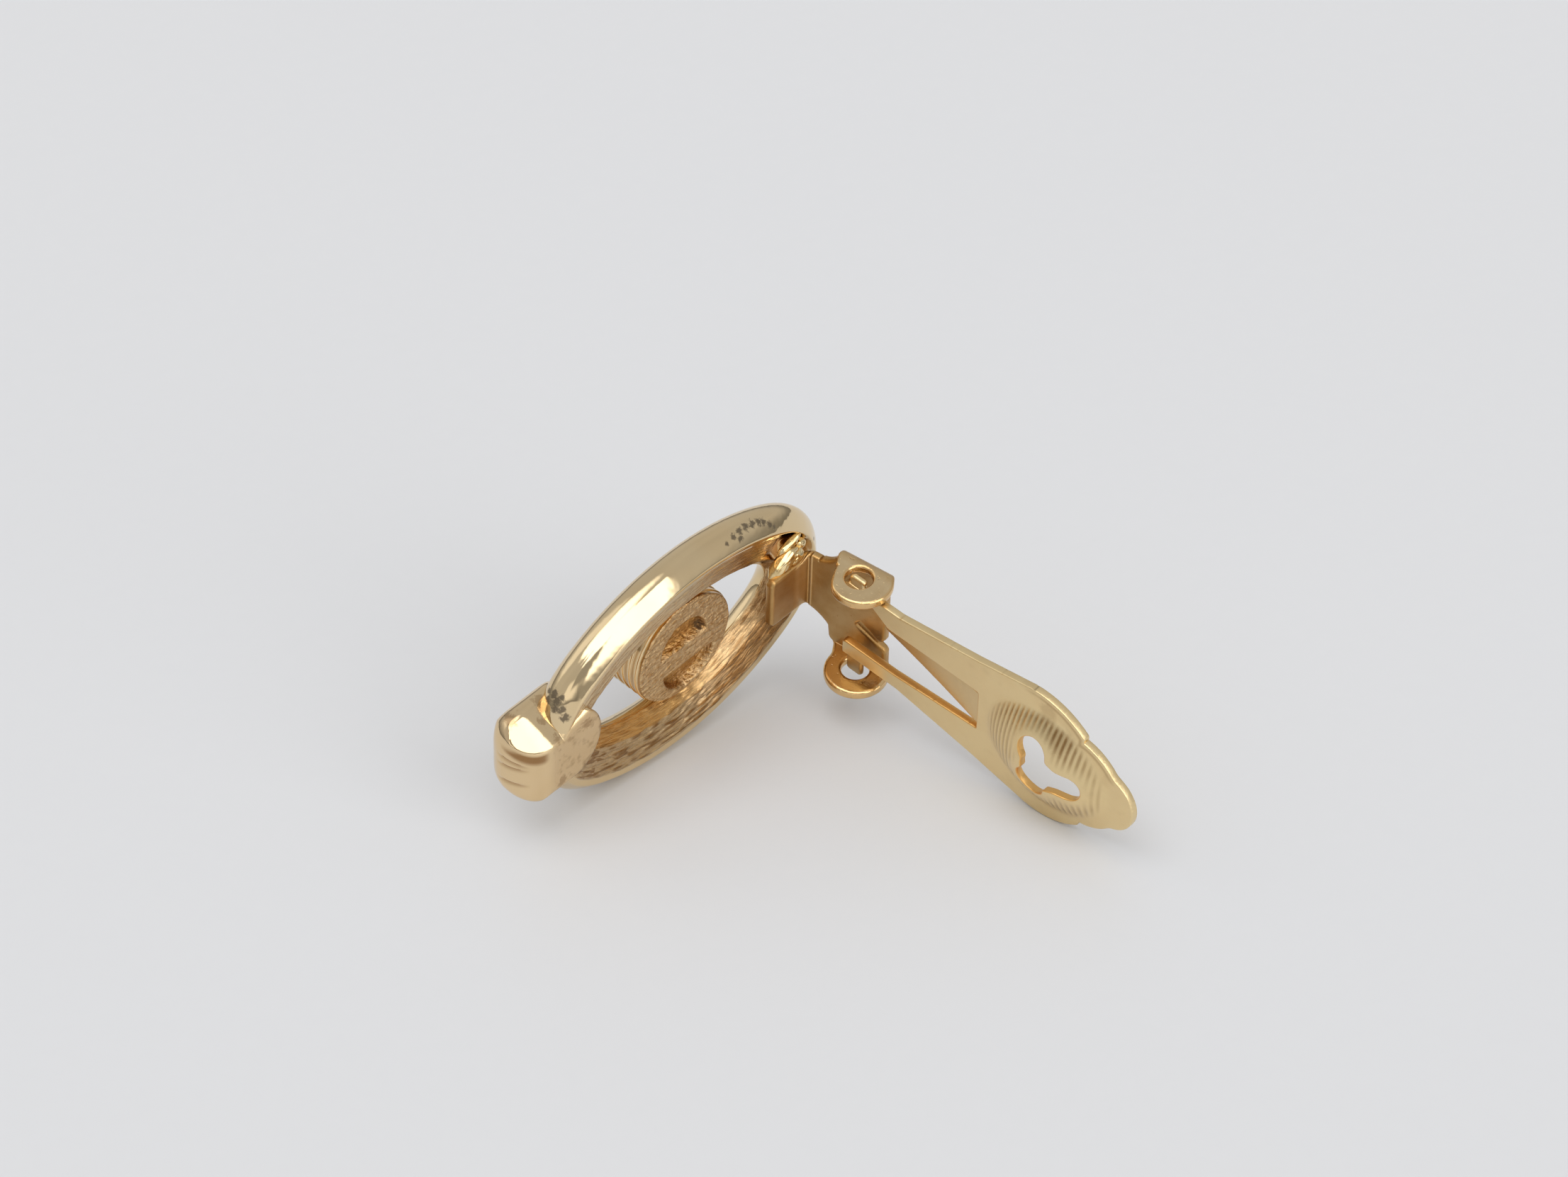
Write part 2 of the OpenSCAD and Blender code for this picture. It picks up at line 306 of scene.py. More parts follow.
def plain_copy(piece):
    """The evaluated shape as a plain mesh, with the modifiers gone."""
    evaluated = piece.evaluated_get(bpy.context.evaluated_depsgraph_get())
    mesh = bpy.data.meshes.new_from_object(evaluated)
    piece.modifiers.clear()
    piece.data = mesh
    return piece


def weld(piece, distance):
    """Merges points closer together than distance and turns every face outwards."""
    welded = bmesh.new()
    welded.from_mesh(piece.data)
    bmesh.ops.remove_doubles(welded, verts=welded.verts, dist=distance)
    bmesh.ops.recalc_face_normals(welded, faces=welded.faces)
    welded.to_mesh(piece.data)
    welded.free()


def joined_rows(rows, columns, closed_rows=True, closed_columns=True):
    """Quads over a grid of rows by columns of points, in row order."""
    down = rows if closed_rows else rows - 1
    over = columns if closed_columns else columns - 1
    i, j = np.meshgrid(np.arange(down), np.arange(over), indexing="ij")
    a, b = i * columns + j, i * columns + (j + 1) % columns
    c, d = (i + 1) % rows * columns + (j + 1) % columns, (i + 1) % rows * columns + j
    return np.stack([a, b, c, d], -1).reshape(-1, 4).tolist()


# %% [markdown]
# ## The oval band
# The ring is a cast band of one section, swept round an oval. Four arcs give the oval,
# and easing the change from arc to arc keeps the reflections from breaking there. The
# section swells on the outside, is domed in front and dished behind, and a hollow was
# cut beside the clip's stem. A sweep in array code suits it, because the section
# changes on its way round.

# %% The oval's line
RING_LEN, RING_WID, END_R = 17.0, 10.6, 3.9
HALF_X, HALF_Y = RING_LEN / 2 - END_R, RING_WID / 2
SIDE_R = (HALF_X ** 2 + HALF_Y ** 2 - END_R ** 2) / (2 * (HALF_Y - END_R))
SIDE_ANGLE = np.degrees(np.arctan2(HALF_X, SIDE_R - HALF_Y))


def eased_round(values, sigma):
    """Values on a closed line, smoothed by a bell curve of sigma steps."""
    waves = np.fft.fftfreq(len(values))
    bell = np.exp(-2 * (np.pi * waves * sigma) ** 2)
    shape = (-1,) + (1,) * (values.ndim - 1)
    return np.real(np.fft.ifft(np.fft.fft(values, axis=0) * bell.reshape(shape), axis=0))


def oval_line(count, easing=0.8, fine=6000):
    """Points, outward directions in degrees and distances along the oval."""
    turns = np.radians([180 - 2 * SIDE_ANGLE, 2 * SIDE_ANGLE] * 2)
    radii = [END_R, SIDE_R] * 2
    lengths = turns * radii
    total = lengths.sum()
    where = (np.arange(fine) + 0.5) / fine * total
    starts = np.cumsum(lengths) - lengths
    arc = np.searchsorted(starts, where, "right") - 1
    bend = eased_round(1 / np.array(radii)[arc], easing / total * fine)
    bend *= 2 * np.pi / (bend.sum() * total / fine)
    angle = np.radians(SIDE_ANGLE - 90) + (np.cumsum(bend) - bend / 2) * total / fine
    points = np.cumsum(np.stack([-np.sin(angle), np.cos(angle)], 1), 0) * total / fine
    points -= (points.max(0) + points.min(0)) / 2
    points *= [RING_LEN, RING_WID] / (points.max(0) - points.min(0))
    pick = (np.arange(count) * fine / count).astype(int)
    return points[pick], np.degrees(angle[pick]), where[pick]


# %% [markdown]
# ## The band's section
# Cut across, the band shows an outer wall that swells, a dome, a sloping inner wall and
# a dished back. It is drawn with four short curves, and a little smoothing rounds the
# corners between them as casting and polishing do. The back gets more of the points,
# because the brush marks need them.

# %% The band's section
BAND_W, BAND_T, BACK_W = 2.45, 2.3, 1.8
WALL_SWELL, SWELL_LOSS, SWELL_Z = 0.8, 0.6, 1.05
DISH, HOLLOW_D, HOLLOW_MID, HOLLOW_SPAN = 0.4, 0.7, 142.0, 34.0
FINE, CORNER_SOFT, BACK_SHARE = 512, 0.055, 2.4


def hollow_at(direction):
    """How much of the hollow there is, by the direction in degrees round the ring."""
    off = (direction - HOLLOW_MID + 180) % 360 - 180
    return np.where(abs(off) < HOLLOW_SPAN, np.cos(np.radians(90 * off / HOLLOW_SPAN)) ** 2, 0)


def band_section(direction, around):
    """Points (outward, height) round the section, and which part each is on.
    Parts run from 0, outer wall, over 1, dome, and 2, inner wall, to 3, the back."""
    out = WALL_SWELL * (1 - SWELL_LOSS * max(0, np.cos(np.radians(direction))) ** 4)
    middle, dome_r = (out - BAND_W) / 2, (out + BAND_W) / 2
    t = np.linspace(0, 1, 60)
    wall = np.stack([out * np.sin(np.pi / 2 * t), SWELL_Z * t], 1)
    dome = np.stack([middle + dome_r * np.cos(np.pi * t),
                     SWELL_Z + (BAND_T - SWELL_Z) * np.sin(np.pi * t)], 1)
    top, foot = np.array([[-BAND_W, SWELL_Z]]), np.array([[-BACK_W, DISH]])
    inner = top * (1 - t[:, None]) + foot * t[:, None]
    f = 1 - t
    hollow = HOLLOW_D * hollow_at(direction) * np.sin(np.pi * f)
    back = np.stack([-BACK_W * f, DISH * f + hollow], 1)
    line = np.concatenate([wall, dome[1:], inner[1:], back[1:-1]])
    part = np.concatenate([t * 0, t[1:] * 0 + 1, t[1:] * 0 + 2, t[1:-1] * 0 + 3])
    closed = np.concatenate([line, line[:1]])
    far = np.concatenate([[0], np.cumsum(np.linalg.norm(np.diff(closed, axis=0), axis=1))])
    even = np.arange(FINE) / FINE * far[-1]
    line = np.stack([np.interp(even, far, closed[:, k]) for k in (0, 1)], 1)
    line = eased_round(line, CORNER_SOFT / far[-1] * FINE)
    part = np.interp(even, far, np.append(part, 3))
    behind = (part > 1.6) | (even < 0.4) | (even > far[-1] - 0.4)
    weight = np.where(behind, BACK_SHARE, 1.0)
    steps = np.arange(FINE)
    pick = np.interp(np.arange(around) / around, np.cumsum(weight) / weight.sum(), steps)
    return (np.stack([np.interp(pick, steps, line[:, k]) for k in (0, 1)], 1),
            np.interp(pick, steps, part), pick * far[-1] / FINE)


# %% [markdown]
# ## Sweep the section
# The section now goes round the oval, 880 times. The marks of the brush are pushed into
# the back as real height, so that they catch the light from every side and stay in an
# exported shape. Four numbers are stored for each point and tell the finish where the
# back is worked, how deep a mark is, where the hollow is and where the gold is orange.

# %% Sweep the section round the oval
ALONG, AROUND, SEAM_ROWS, MARK_DEPTH = 880, 92, 30, 0.075
rim, outward, travelled = oval_line(ALONG)
sections = [band_section(d, AROUND) for d in outward]
side = np.stack([np.cos(np.radians(outward)), np.sin(np.radians(outward))], 1)
across = np.array([s[0][:, 0] for s in sections])
height = np.array([s[0][:, 1] for s in sections])
part = np.array([s[1] for s in sections])
round_it = np.array([s[2] for s in sections])
behind = np.clip((part - 1.75) * 2.5, 0, 1) * np.clip((-across - 0.27) / 0.12, 0, 1)
worked = behind * np.clip(0.5 - rim[:, 1] / 3, 0.3, 1)[:, None]


def brushed_height(distance, over):
    """Ragged lines that run along the ring, from about -1 to 1."""
    long_line = noise.noise(Vector((distance * 0.7, over * 5.0, 3.1)))
    fine_line = noise.noise(Vector((distance * 1.3, over * 8.5, 8.7)))
    lump = noise.noise(Vector((distance * 0.8, over * 1.3, 5.2)))
    return 0.9 * long_line + 1.3 * fine_line + 0.25 * lump


# %% Push the marks into the back
marks = np.array([[brushed_height(travelled[i], round_it[i, j]) if worked[i, j] > 0 else 0
                   for j in range(AROUND)] for i in range(ALONG)])
# The noise doesn't close round the ring, so the marks fade out where the rows meet.
seam = np.clip(np.minimum(np.arange(ALONG), ALONG - np.arange(ALONG)) / SEAM_ROWS, 0, 1)[:, None]
height = height + MARK_DEPTH * marks * worked * seam * (1 - 0.8 * hollow_at(outward))[:, None]
band_points = np.stack([rim[:, None, 0] + across * side[:, None, 0],
                        rim[:, None, 1] + across * side[:, None, 1], height], -1).reshape(-1, 3)
band_faces = [f[::-1] for f in joined_rows(ALONG, AROUND)]
row_of, column_of = np.divmod(np.arange(ALONG * AROUND), AROUND)
print("deepest mark", round(MARK_DEPTH * float(abs(marks * worked).max()), 3), "mm")

# %% Store what the finish needs


def band_uv(corners):
    """Millimetres along the ring and round the section, unbroken at the seams."""
    quads = corners.reshape(-1, 4)
    u, v = travelled[row_of[quads]], round_it[row_of[quads], column_of[quads]]
    ring_total = travelled[-1] + travelled[1] - travelled[0]
    round_total = round_it[:, -1].max() + 0.05
    u = np.where((u.max(1, keepdims=True) - u) > ring_total / 2, u + ring_total, u)
    v = np.where((v.max(1, keepdims=True) - v) > round_total / 2, v + round_total, v)
    return np.stack([u, v], -1) * 0.02


hollow_share = np.repeat(hollow_at(outward), AROUND) * behind.ravel()
inner_share = np.clip(1 - abs(part.ravel() - 2) * 1.2, 0, 1)
# The inner wall's orange is tarnish; toward the clip it fades as a painted reflection, where that
# wall mirrors the bright room.
inner_share *= np.clip(0.3 + (band_points[:, 0] + 2.5) / 5, 0.2, 0.9)
near_clip = 0.4 * behind.ravel() * np.clip((-band_points[:, 0] - 1) / 4, 0, 1)
oval_band = mesh_from("oval_band", band_points, band_faces, {
    "worked": worked.ravel(), "depth": (marks * worked).ravel(),
    "hollow": hollow_share, "orange": np.max([hollow_share, inner_share, near_clip], 0)}, band_uv)
print("ring", round(travelled[-1], 2), "mm round")

# %% [markdown]
# ## What the band looks like
# Outside, the plating is mirror bright with a few dark specks. Behind, the brush left
# lines along the ring, and what is low went brown. On Object coordinates the lines would
# run straight across the oval. So they follow the ring through the piece's own UV map,
# in which one unit is fifty millimetres.

# %% Finish of the band
# x, y, z and radius of each dark speck, first those beside the lug
BAND_SPECKS = [
    (7.76, 2.86, 1.52, 0.22), (7.81, 2.97, 1.15, 0.3), (8.02, 2.62, 1.36, 0.26),
    (7.92, 2.8, 0.86, 0.3), (7.72, 2.98, 0.74, 0.2), (8.13, 2.48, 0.84, 0.26),
    (7.94, 2.49, 0.52, 0.3), (7.97, 2.18, 0.31, 0.3),
    (-2.74, 5.54, 0.41, 0.16), (-3.27, 5.52, 0.51, 0.2), (-3.78, 5.46, 0.58, 0.24),
    (-4.25, 5.35, 0.62, 0.26), (-4.68, 5.21, 0.62, 0.28), (-5.09, 5.04, 0.61, 0.26),
    (-5.36, 4.88, 0.54, 0.24), (-5.63, 4.6, 0.38, 0.22), (-5.81, 4.34, 0.22, 0.18),
    (-3.6, 5.26, 0.33, 0.2), (-8.45, 1.5, 0.2, 0.14)]


def band_paint(bench, place):
    """Bright outside, brushed and brown behind, orange in the hollow."""
    uv = bench.node("ShaderNodeUVMap", {"uv_map": "brushed"})
    lines = bench.grain(bench.stretched(uv, (38.0, 520.0, 1.0)), 1.0, 4.0, 0.62)
    broad = bench.grain(bench.stretched(uv, (45.0, 160.0, 1.0)), 1.0, 3.0, 0.55)
    rough_back = bench.attribute("worked")
    low = bench.attribute("depth").ramp(0.0, -0.5)
    deep = bench.attribute("hollow")
    streaks = lines.ramp(0.48, 0.7) * bench.attribute("orange")
    toward_clip = bench.parts(place)[0].ramp(2.0, -5.0)
    dirt = 0.34 + toward_clip * 0.5 + low * 0.55 + broad.ramp(0.52, 0.7) * 0.25
    brown = rough_back * dirt * (1 - deep * 0.6) + streaks * 0.45
    dull = rough_back * 0.8 + bench.grain(place, 2.2, 3.0).ramp(0.45, 0.8) * 0.1
    height = lines * rough_back * (1 - deep * 0.8) + bench.grain(place, 0.9, 2.0) * 0.2
    return brown, dull, height, BAND_SPECKS


ring_gold = plated("ring_gold", JEWEL, band_paint)
finish_piece(oval_band, JEWEL, ring_gold, "jewel", "jewel_frame")

# %% [markdown]
# ## The stone cup
# A deep round cup in the middle of the ring holds the stone. Its back is flat and
# brushed, with two half-round recesses, and its wall carries fine ridges. A profile
# turned round an axis makes the cup. A Boolean cut would leave the recesses with sharp,
# uneven edges, so the points of the back are pushed in instead, which keeps them soft.

# %% Turn the cup
CUP_R, CUP_BACK, LIP_Z, CUP_X = 3.02, 0.65, 2.99, -0.3
STONE_R, SEAT_Z, GIRDLE_Z = 2.6, 1.45, 2.64
# Middle, flat side, half width and rise of each half-round recess
UPPER_RECESS, LOWER_RECESS = (0.05, 0.25, 1.45, 1.5), (-0.3, 1.15, 1.6, 1.5)
RECESS_D, RECESS_SOFT = 0.45, 0.22
FIRST_RIDGE, RIDGE_PITCH = CUP_BACK + 0.3, 0.42


def half_round(x, y, mid, flat, half, rise):
    """Distance-like value, below 0 inside a half-round recess with a flat lower side."""
    over = (y - flat) / rise
    dome = np.hypot((x - mid) / half, np.maximum(over, 0)) - 1
    return np.maximum(dome * min(half, rise), (flat - y))


def recess_depth(x, y):
    """How far the cup's back is pushed in at a place."""
    upper, lower = half_round(x, y, *UPPER_RECESS), half_round(x, -y, *LOWER_RECESS)
    t = np.clip(0.5 - np.minimum(upper, lower) / RECESS_SOFT, 0, 1)
    return RECESS_D * t * t * (3 - 2 * t)


def cup_profile():
    """Radius and height from the middle of the back, over the wall, to the seat."""
    back = [(r, CUP_BACK) for r in np.linspace(0.02, CUP_R - 0.12, 60)]
    turn = np.radians(np.linspace(0, 90, 7)[1:])
    edge = [(CUP_R - 0.12 + 0.1 * np.sin(a), CUP_BACK + 0.1 - 0.1 * np.cos(a)) for a in turn]
    wall = [(CUP_R - 0.02, z) for z in np.linspace(CUP_BACK + 0.2, LIP_Z - 0.2, 14)]
    lip = [(CUP_R - 0.2 + 0.18 * np.cos(a), LIP_Z - 0.18 + 0.18 * np.sin(a)) for a in turn]
    inside = [(STONE_R - 0.02, LIP_Z - 0.02), (STONE_R - 0.08, LIP_Z - 0.08),
              (STONE_R - 0.06, GIRDLE_Z + 0.3), (STONE_R + 0.04, GIRDLE_Z + 0.18),
              (STONE_R + 0.04, GIRDLE_Z - 0.04)]
    cone = [(r, SEAT_Z + (GIRDLE_Z - 0.04 - SEAT_Z) * (r - 0.91) / (STONE_R - 0.87))
            for r in np.linspace(STONE_R - 0.1, 0.91, 8)]
    return np.array(back + edge + wall + lip + inside + cone + [(0.5, SEAT_Z), (0.02, SEAT_Z)])


# %% Press the recesses and close the cup
TURNS, BACK_ROWS, SCRATCH_DEPTH = 260, 64, 0.02
profile = cup_profile()
spin = np.arange(TURNS) / TURNS * 2 * np.pi
cup_x = profile[:, 0][:, None] * np.cos(spin)
cup_y = profile[:, 0][:, None] * np.sin(spin)
cup_z = np.repeat(profile[:, 1][:, None], TURNS, 1)
on_back = (np.arange(len(profile))[:, None] < BACK_ROWS) * np.ones((1, TURNS))
sunk = recess_depth(cup_x, cup_y) * on_back
scratch = np.array([[brushed_height(x * 1.2, y * 0.8) for x, y in zip(*row)]
                    for row in zip(cup_x[:BACK_ROWS], cup_y[:BACK_ROWS])])
scratch = np.vstack([scratch, np.zeros((len(profile) - BACK_ROWS, TURNS))])
cup_z = cup_z + sunk + SCRATCH_DEPTH * scratch
cup_points = np.stack([cup_x + CUP_X, cup_y, cup_z], -1).reshape(-1, 3)
ends = [(CUP_X, 0, CUP_BACK + recess_depth(0.0, 0.0)), (CUP_X, 0, SEAT_Z)]
cup_points = np.vstack([cup_points, ends])
cup_faces = joined_rows(len(profile), TURNS, closed_rows=False)
count, last = len(profile) * TURNS, (len(profile) - 1) * TURNS
cup_faces += [[(j + 1) % TURNS, j, count] for j in range(TURNS)]
cup_faces += [[last + j, last + (j + 1) % TURNS, count + 1] for j in range(TURNS)]
sunk_share = sunk / RECESS_D
orange_share = sunk_share * np.where(cup_y > -0.3, 0.95, 0.35)
stone_cup = mesh_from("stone_cup", cup_points, cup_faces, {
    "sunk": np.append(sunk_share, [0, 0]), "orange": np.append(orange_share, [0, 0]),
    "worked": np.append(on_back, [1, 0])})
print("cup", round(2 * CUP_R, 2), "mm across, recesses", RECESS_D, "mm deep")

# %% [markdown]
# ## What the cup looks like
# Its back was brushed one way and is mottled brown, deep orange gold is left in the
# recesses, and dirt lies between the ridges of the wall. The height in the drawing finds
# those valleys, so that they need no map.

# %% Finish of the cup
CUP_SPECKS = [(-1.5, 0.42, 0.95, 0.34)]
CUP_STAINS = [(0.55, -2.0, 1.05, 0.75), (-0.9, -1.8, 1.05, 0.6)]


def cup_paint(bench, place):
    """Brushed and mottled behind, dirty between the ridges, stained in the recesses."""
    height_here = bench.parts(place)[2]
    lines = bench.grain(bench.stretched(place, (1.6, 7.0, 1.0)), 1.0, 4.0, 0.65)
    back = bench.attribute("worked")
    sunk_here = bench.attribute("sunk")
    mottle = bench.grain(place, 4.5, 4.0, 0.6)
    stains = spot_mask(bench, place, CUP_STAINS, 1.2)
    valleys = (height_here - FIRST_RIDGE + RIDGE_PITCH / 2) / RIDGE_PITCH * (2 * np.pi)
    valleys = (valleys + np.pi / 2).sine().ramp(0.0, 0.9) * (1 - back)
    grime = 0.38 + lines.ramp(0.46, 0.66) * 0.35 + mottle.ramp(0.46, 0.62) * 0.3
    brown = back * grime + valleys * 0.75
    brown = brown + sunk_here * (0.1 + mottle.ramp(0.42, 0.6) * 0.3 + stains * 0.6)
    dull = back * 0.8 + 0.1
    return brown, dull, lines * back + mottle * back * 0.6, CUP_SPECKS


cup_gold = plated("cup_gold", JEWEL, cup_paint)
finish_piece(stone_cup, JEWEL, cup_gold, "jewel", "jewel_frame")

# %% [markdown]
# ## Ridges that repeat
# The cup's wall is ringed by fine ridges at an even distance. They could be drawn into
# the profile, but then their number could not be changed any more. So Geometry Nodes
# make them: one ring, swept from a small profile, stands on each point of a short line.
# The tree has named inputs, so that another cup can have more or wider ridges.

# %% A bench for Geometry Nodes


class Tree(Bench):
    """A Geometry Nodes group with named inputs."""

    def __init__(self, name, inputs):
        group = bpy.data.node_groups.new(name, "GeometryNodeTree")
        super().__init__(group)
        new_socket = group.interface.new_socket
        new_socket("Geometry", in_out="INPUT", socket_type="NodeSocketGeometry")
        self.keys = {}
        for key, kind in inputs.items():
            socket = new_socket(key, in_out="INPUT", socket_type="NodeSocket" + kind)
            self.keys[key] = socket.identifier
        new_socket("Geometry", in_out="OUTPUT", socket_type="NodeSocketGeometry")
        entry = self.node("NodeGroupInput").socket.node
        self.given = {s.name: Wire(self, s) for s in entry.outputs if s.name}

    def end(self, shape, material):
        """Makes instances real, gives them their material and closes the tree."""
        real = self.node("GeometryNodeRealizeInstances", {}, {"Geometry": shape})
        done = self.node("GeometryNodeSetMaterial", {}, {"Geometry": real, "Material": material})
        self.node("NodeGroupOutput", {}, {0: done})

    def grow(self, piece, values):
        """Runs the tree on a piece and leaves a plain mesh."""
        growing = piece.modifiers.new(self.tree.name, "NODES")
        growing.node_group = self.tree
        for key, value in values.items():
            growing[self.keys[key]] = value
        return plain_copy(piece)


# %% Rings on a line
RIDGE_COUNT, RIDGE_R = 5, 0.11
ridge_tree = Tree("ridge_rings", {
    "Count": "Int", "Pitch": "Float", "Ring Radius": "Float", "Ridge Radius": "Float"})
given = ridge_tree.given
ring_line = ridge_tree.node("GeometryNodeCurvePrimitiveCircle", {}, {
    "Resolution": 200, "Radius": given["Ring Radius"]})
ring_profile = ridge_tree.node("GeometryNodeCurvePrimitiveCircle", {}, {
    "Resolution": 10, "Radius": given["Ridge Radius"]})
one_ring = ridge_tree.node("GeometryNodeCurveToMesh", {}, {
    "Curve": ring_line, "Profile Curve": ring_profile})
step_up = ridge_tree.node("ShaderNodeCombineXYZ", {}, {2: given["Pitch"]})
row = ridge_tree.node("GeometryNodeMeshLine", {}, {"Count": given["Count"], "Offset": step_up})
rings = ridge_tree.node("GeometryNodeInstanceOnPoints", {}, {
    "Points": row, "Instance": one_ring})
ridge_tree.end(rings, cup_gold)
cup_ridges = mesh_from("cup_ridges", [(0, 0, 0)], [])
ridge_tree.grow(cup_ridges, {
    "Count": RIDGE_COUNT, "Pitch": RIDGE_PITCH, "Ring Radius": CUP_R - 0.06,
    "Ridge Radius": RIDGE_R})
cup_ridges.data.transform(Matrix.Translation((CUP_X, 0, FIRST_RIDGE)))
cup_ridges.data.polygons.foreach_set("use_smooth", [True] * len(cup_ridges.data.polygons))
finish_piece(cup_ridges, JEWEL, cup_gold, "jewel", "jewel_frame")

# %% [markdown]
# ## The lug
# The square lug at the far end is a soft pillow, flat behind and round at its end, with
# one filed facet. Sculpting would give its softness, but not its exact flats. So a
# function says how far any point is from its skin, from a side view, two cross views and
# a plan whose corners are rounded. Rays from its middle then find that skin.

# %% Tools for a soft shape


def globe(steps):
    """Directions over a cube's six faces, with their quads; shared edges merge later."""
    t = np.tan(np.linspace(-1, 1, steps) * np.pi / 4)
    a, b = np.meshgrid(t, t, indexing="ij")
    one = np.ones_like(a)
    sides = [(one, a, b), (-one, b, a), (b, one, a), (a, -one, b), (a, b, one), (b, a, -one)]
    directions = np.concatenate([np.stack(s, -1).reshape(-1, 3) for s in sides])
    grid = np.array(joined_rows(steps, steps, False, False))
    faces = np.concatenate([grid + k * steps * steps for k in range(6)])
    return directions / np.linalg.norm(directions, axis=1)[:, None], faces.tolist()


def rounded_corner(u, v, u1, v0, v1, r0, r1):
    """A strip v0 to v1 that ends at u1, with corner radii r0 low and r1 high."""
    flat = np.maximum(u - u1, np.maximum(v0 - v, v - v1))
    for r, dv in ((r0, v0 + r0 - v), (r1, v - v1 + r1)):
        du = u - u1 + r
        flat = np.where((du > 0) & (dv > 0), np.hypot(du, dv) - r, flat)
    return flat


def both(a, b, soft):
    """What lies in both shapes, with the edge between them rounded."""
    h = np.clip(0.5 - 0.5 * (b - a) / soft, 0, 1)
    return b * (1 - h) + a * h + soft * h * (1 - h)


# %% Shape the lug
LUG_LEN, LUG_WID, LUG_T, LUG_END, LUG_OFF = 5.0, 4.8, 2.8, 10.9, 0.15
PILLOW_MID, PILLOW_R = (8.4, LUG_OFF, 0.95), 2.95
# Each cut is a plane: its direction, and how far along it the metal ends
FACET, FACET_C = (0.19, 0.73, -0.66), 2.6
SHOULDER, SHOULDER_C, SHOULDER_X = (-0.146, 0.778, -0.613), -0.335, 8.35
LUG_HEART = np.array([LUG_END - LUG_LEN / 2, LUG_OFF, LUG_T / 2])


def lug_shape(p):
    """Distance-like value of points, below 0 inside the lug."""
    x, y, z = p.T
    y = y - LUG_OFF
    half = LUG_WID / 2
    side = rounded_corner(x, z, LUG_END, -0.03, LUG_T, 1.9, 1.3)
    upper = rounded_corner(y, z, half, -0.03, LUG_T, 0.35, 1.2)
    lower = rounded_corner(-y, z, half, -0.03, LUG_T, 0.4, 1.2)
    inward = np.where(x < LUG_END - LUG_LEN + half,
                      np.hypot(x - LUG_END + LUG_LEN - half, y) - half, -1.0)
    plan = np.maximum(rounded_corner(x, y, LUG_END, -half, half, 0.9, 0.9), inward)
    ball = np.linalg.norm(p - np.array(PILLOW_MID), axis=1) - PILLOW_R
    block = np.maximum(np.maximum(side, upper), lower)
    block = both(both(block, plan, 0.1), ball, 0.3)
    facet = p @ np.array(FACET) - FACET_C
    relief = 1.1 * np.maximum(SHOULDER_X - x, 0) * np.clip(1.3 - z, 0, 1)
    shoulder = p @ np.array(SHOULDER) - SHOULDER_C - relief
    return both(both(block, facet, 0.16), shoulder, 0.15)


def reach_of(shape, heart, directions, most=5.0):
    """How far the surface of a round shape is from its heart, by halving the range."""
    near, far = np.zeros(len(directions)), np.full(len(directions), most)
    for _ in range(26):
        middle = (near + far) / 2
        inside = shape(heart + directions * middle[:, None]) < 0
        near, far = np.where(inside, middle, near), np.where(inside, far, middle)
    return near


# %% Find the lug's skin and scratch its end
# Place across the lug and slope of each scratch in its round end
SCRATCHES = ((0.62, 0.4), (0.2, 0.15), (-0.85, 0.15))
SCRATCH_MID, SCRATCH_HALF, SCRATCH_SINK = 1.1, 0.1, 0.07
directions, lug_faces = globe(64)
lug_points = LUG_HEART + directions * reach_of(lug_shape, LUG_HEART, directions)[:, None]
at_end = lug_points[:, 0] > 9
grooved = np.zeros(len(lug_points))
for y, slope in SCRATCHES:
    along = lug_points[:, 2] - SCRATCH_MID
    off = (lug_points[:, 1] - y - slope * along) / SCRATCH_HALF
    grooved += np.exp(-off ** 2) * at_end * np.clip(1.8 - 2.4 * abs(along), 0, 1)
lug_points[:, 0] -= SCRATCH_SINK * grooved
lug = mesh_from("lug", lug_points, lug_faces, {"groove": grooved})
weld(lug, 0.002)
print("lug", np.ptp(lug_points, axis=0).round(2), "mm along, across and through")

# %% [markdown]
# ## What the lug looks like
# Its sides are polished like the ring, its flat back is satin and mottled, and a painted
# dark reflection follows the facet's lower edge, with painted shade in the crease beside the band.
# That dark band is a stripe between two distances from the facet's plane, which is exact and needs
# no map.

# %% Finish of the lug
# The first five spots are stains on the flat back; the other six are painted shade in the crease
# where the band meets the lug and along its upper edge.
LUG_STAINS_AND_SHADE = [
    (6.9, 1.1, 0, 0.42), (8.5, -1.6, 0, 0.4), (7.0, -2.0, 0, 0.35), (5.95, 0.2, 0, 0.3),
    (6.0, 0.9, 0, 0.25), (8.75, 1.9, 1.0, 0.35), (8.6, 1.3, 0.2, 0.3), (9.9, 2.3, 1.9, 0.5),
    (8.2, 2.3, 1.35, 0.5), (8.1, 1.7, 0.5, 0.4), (8.2, 2.5, 1.75, 0.4)]


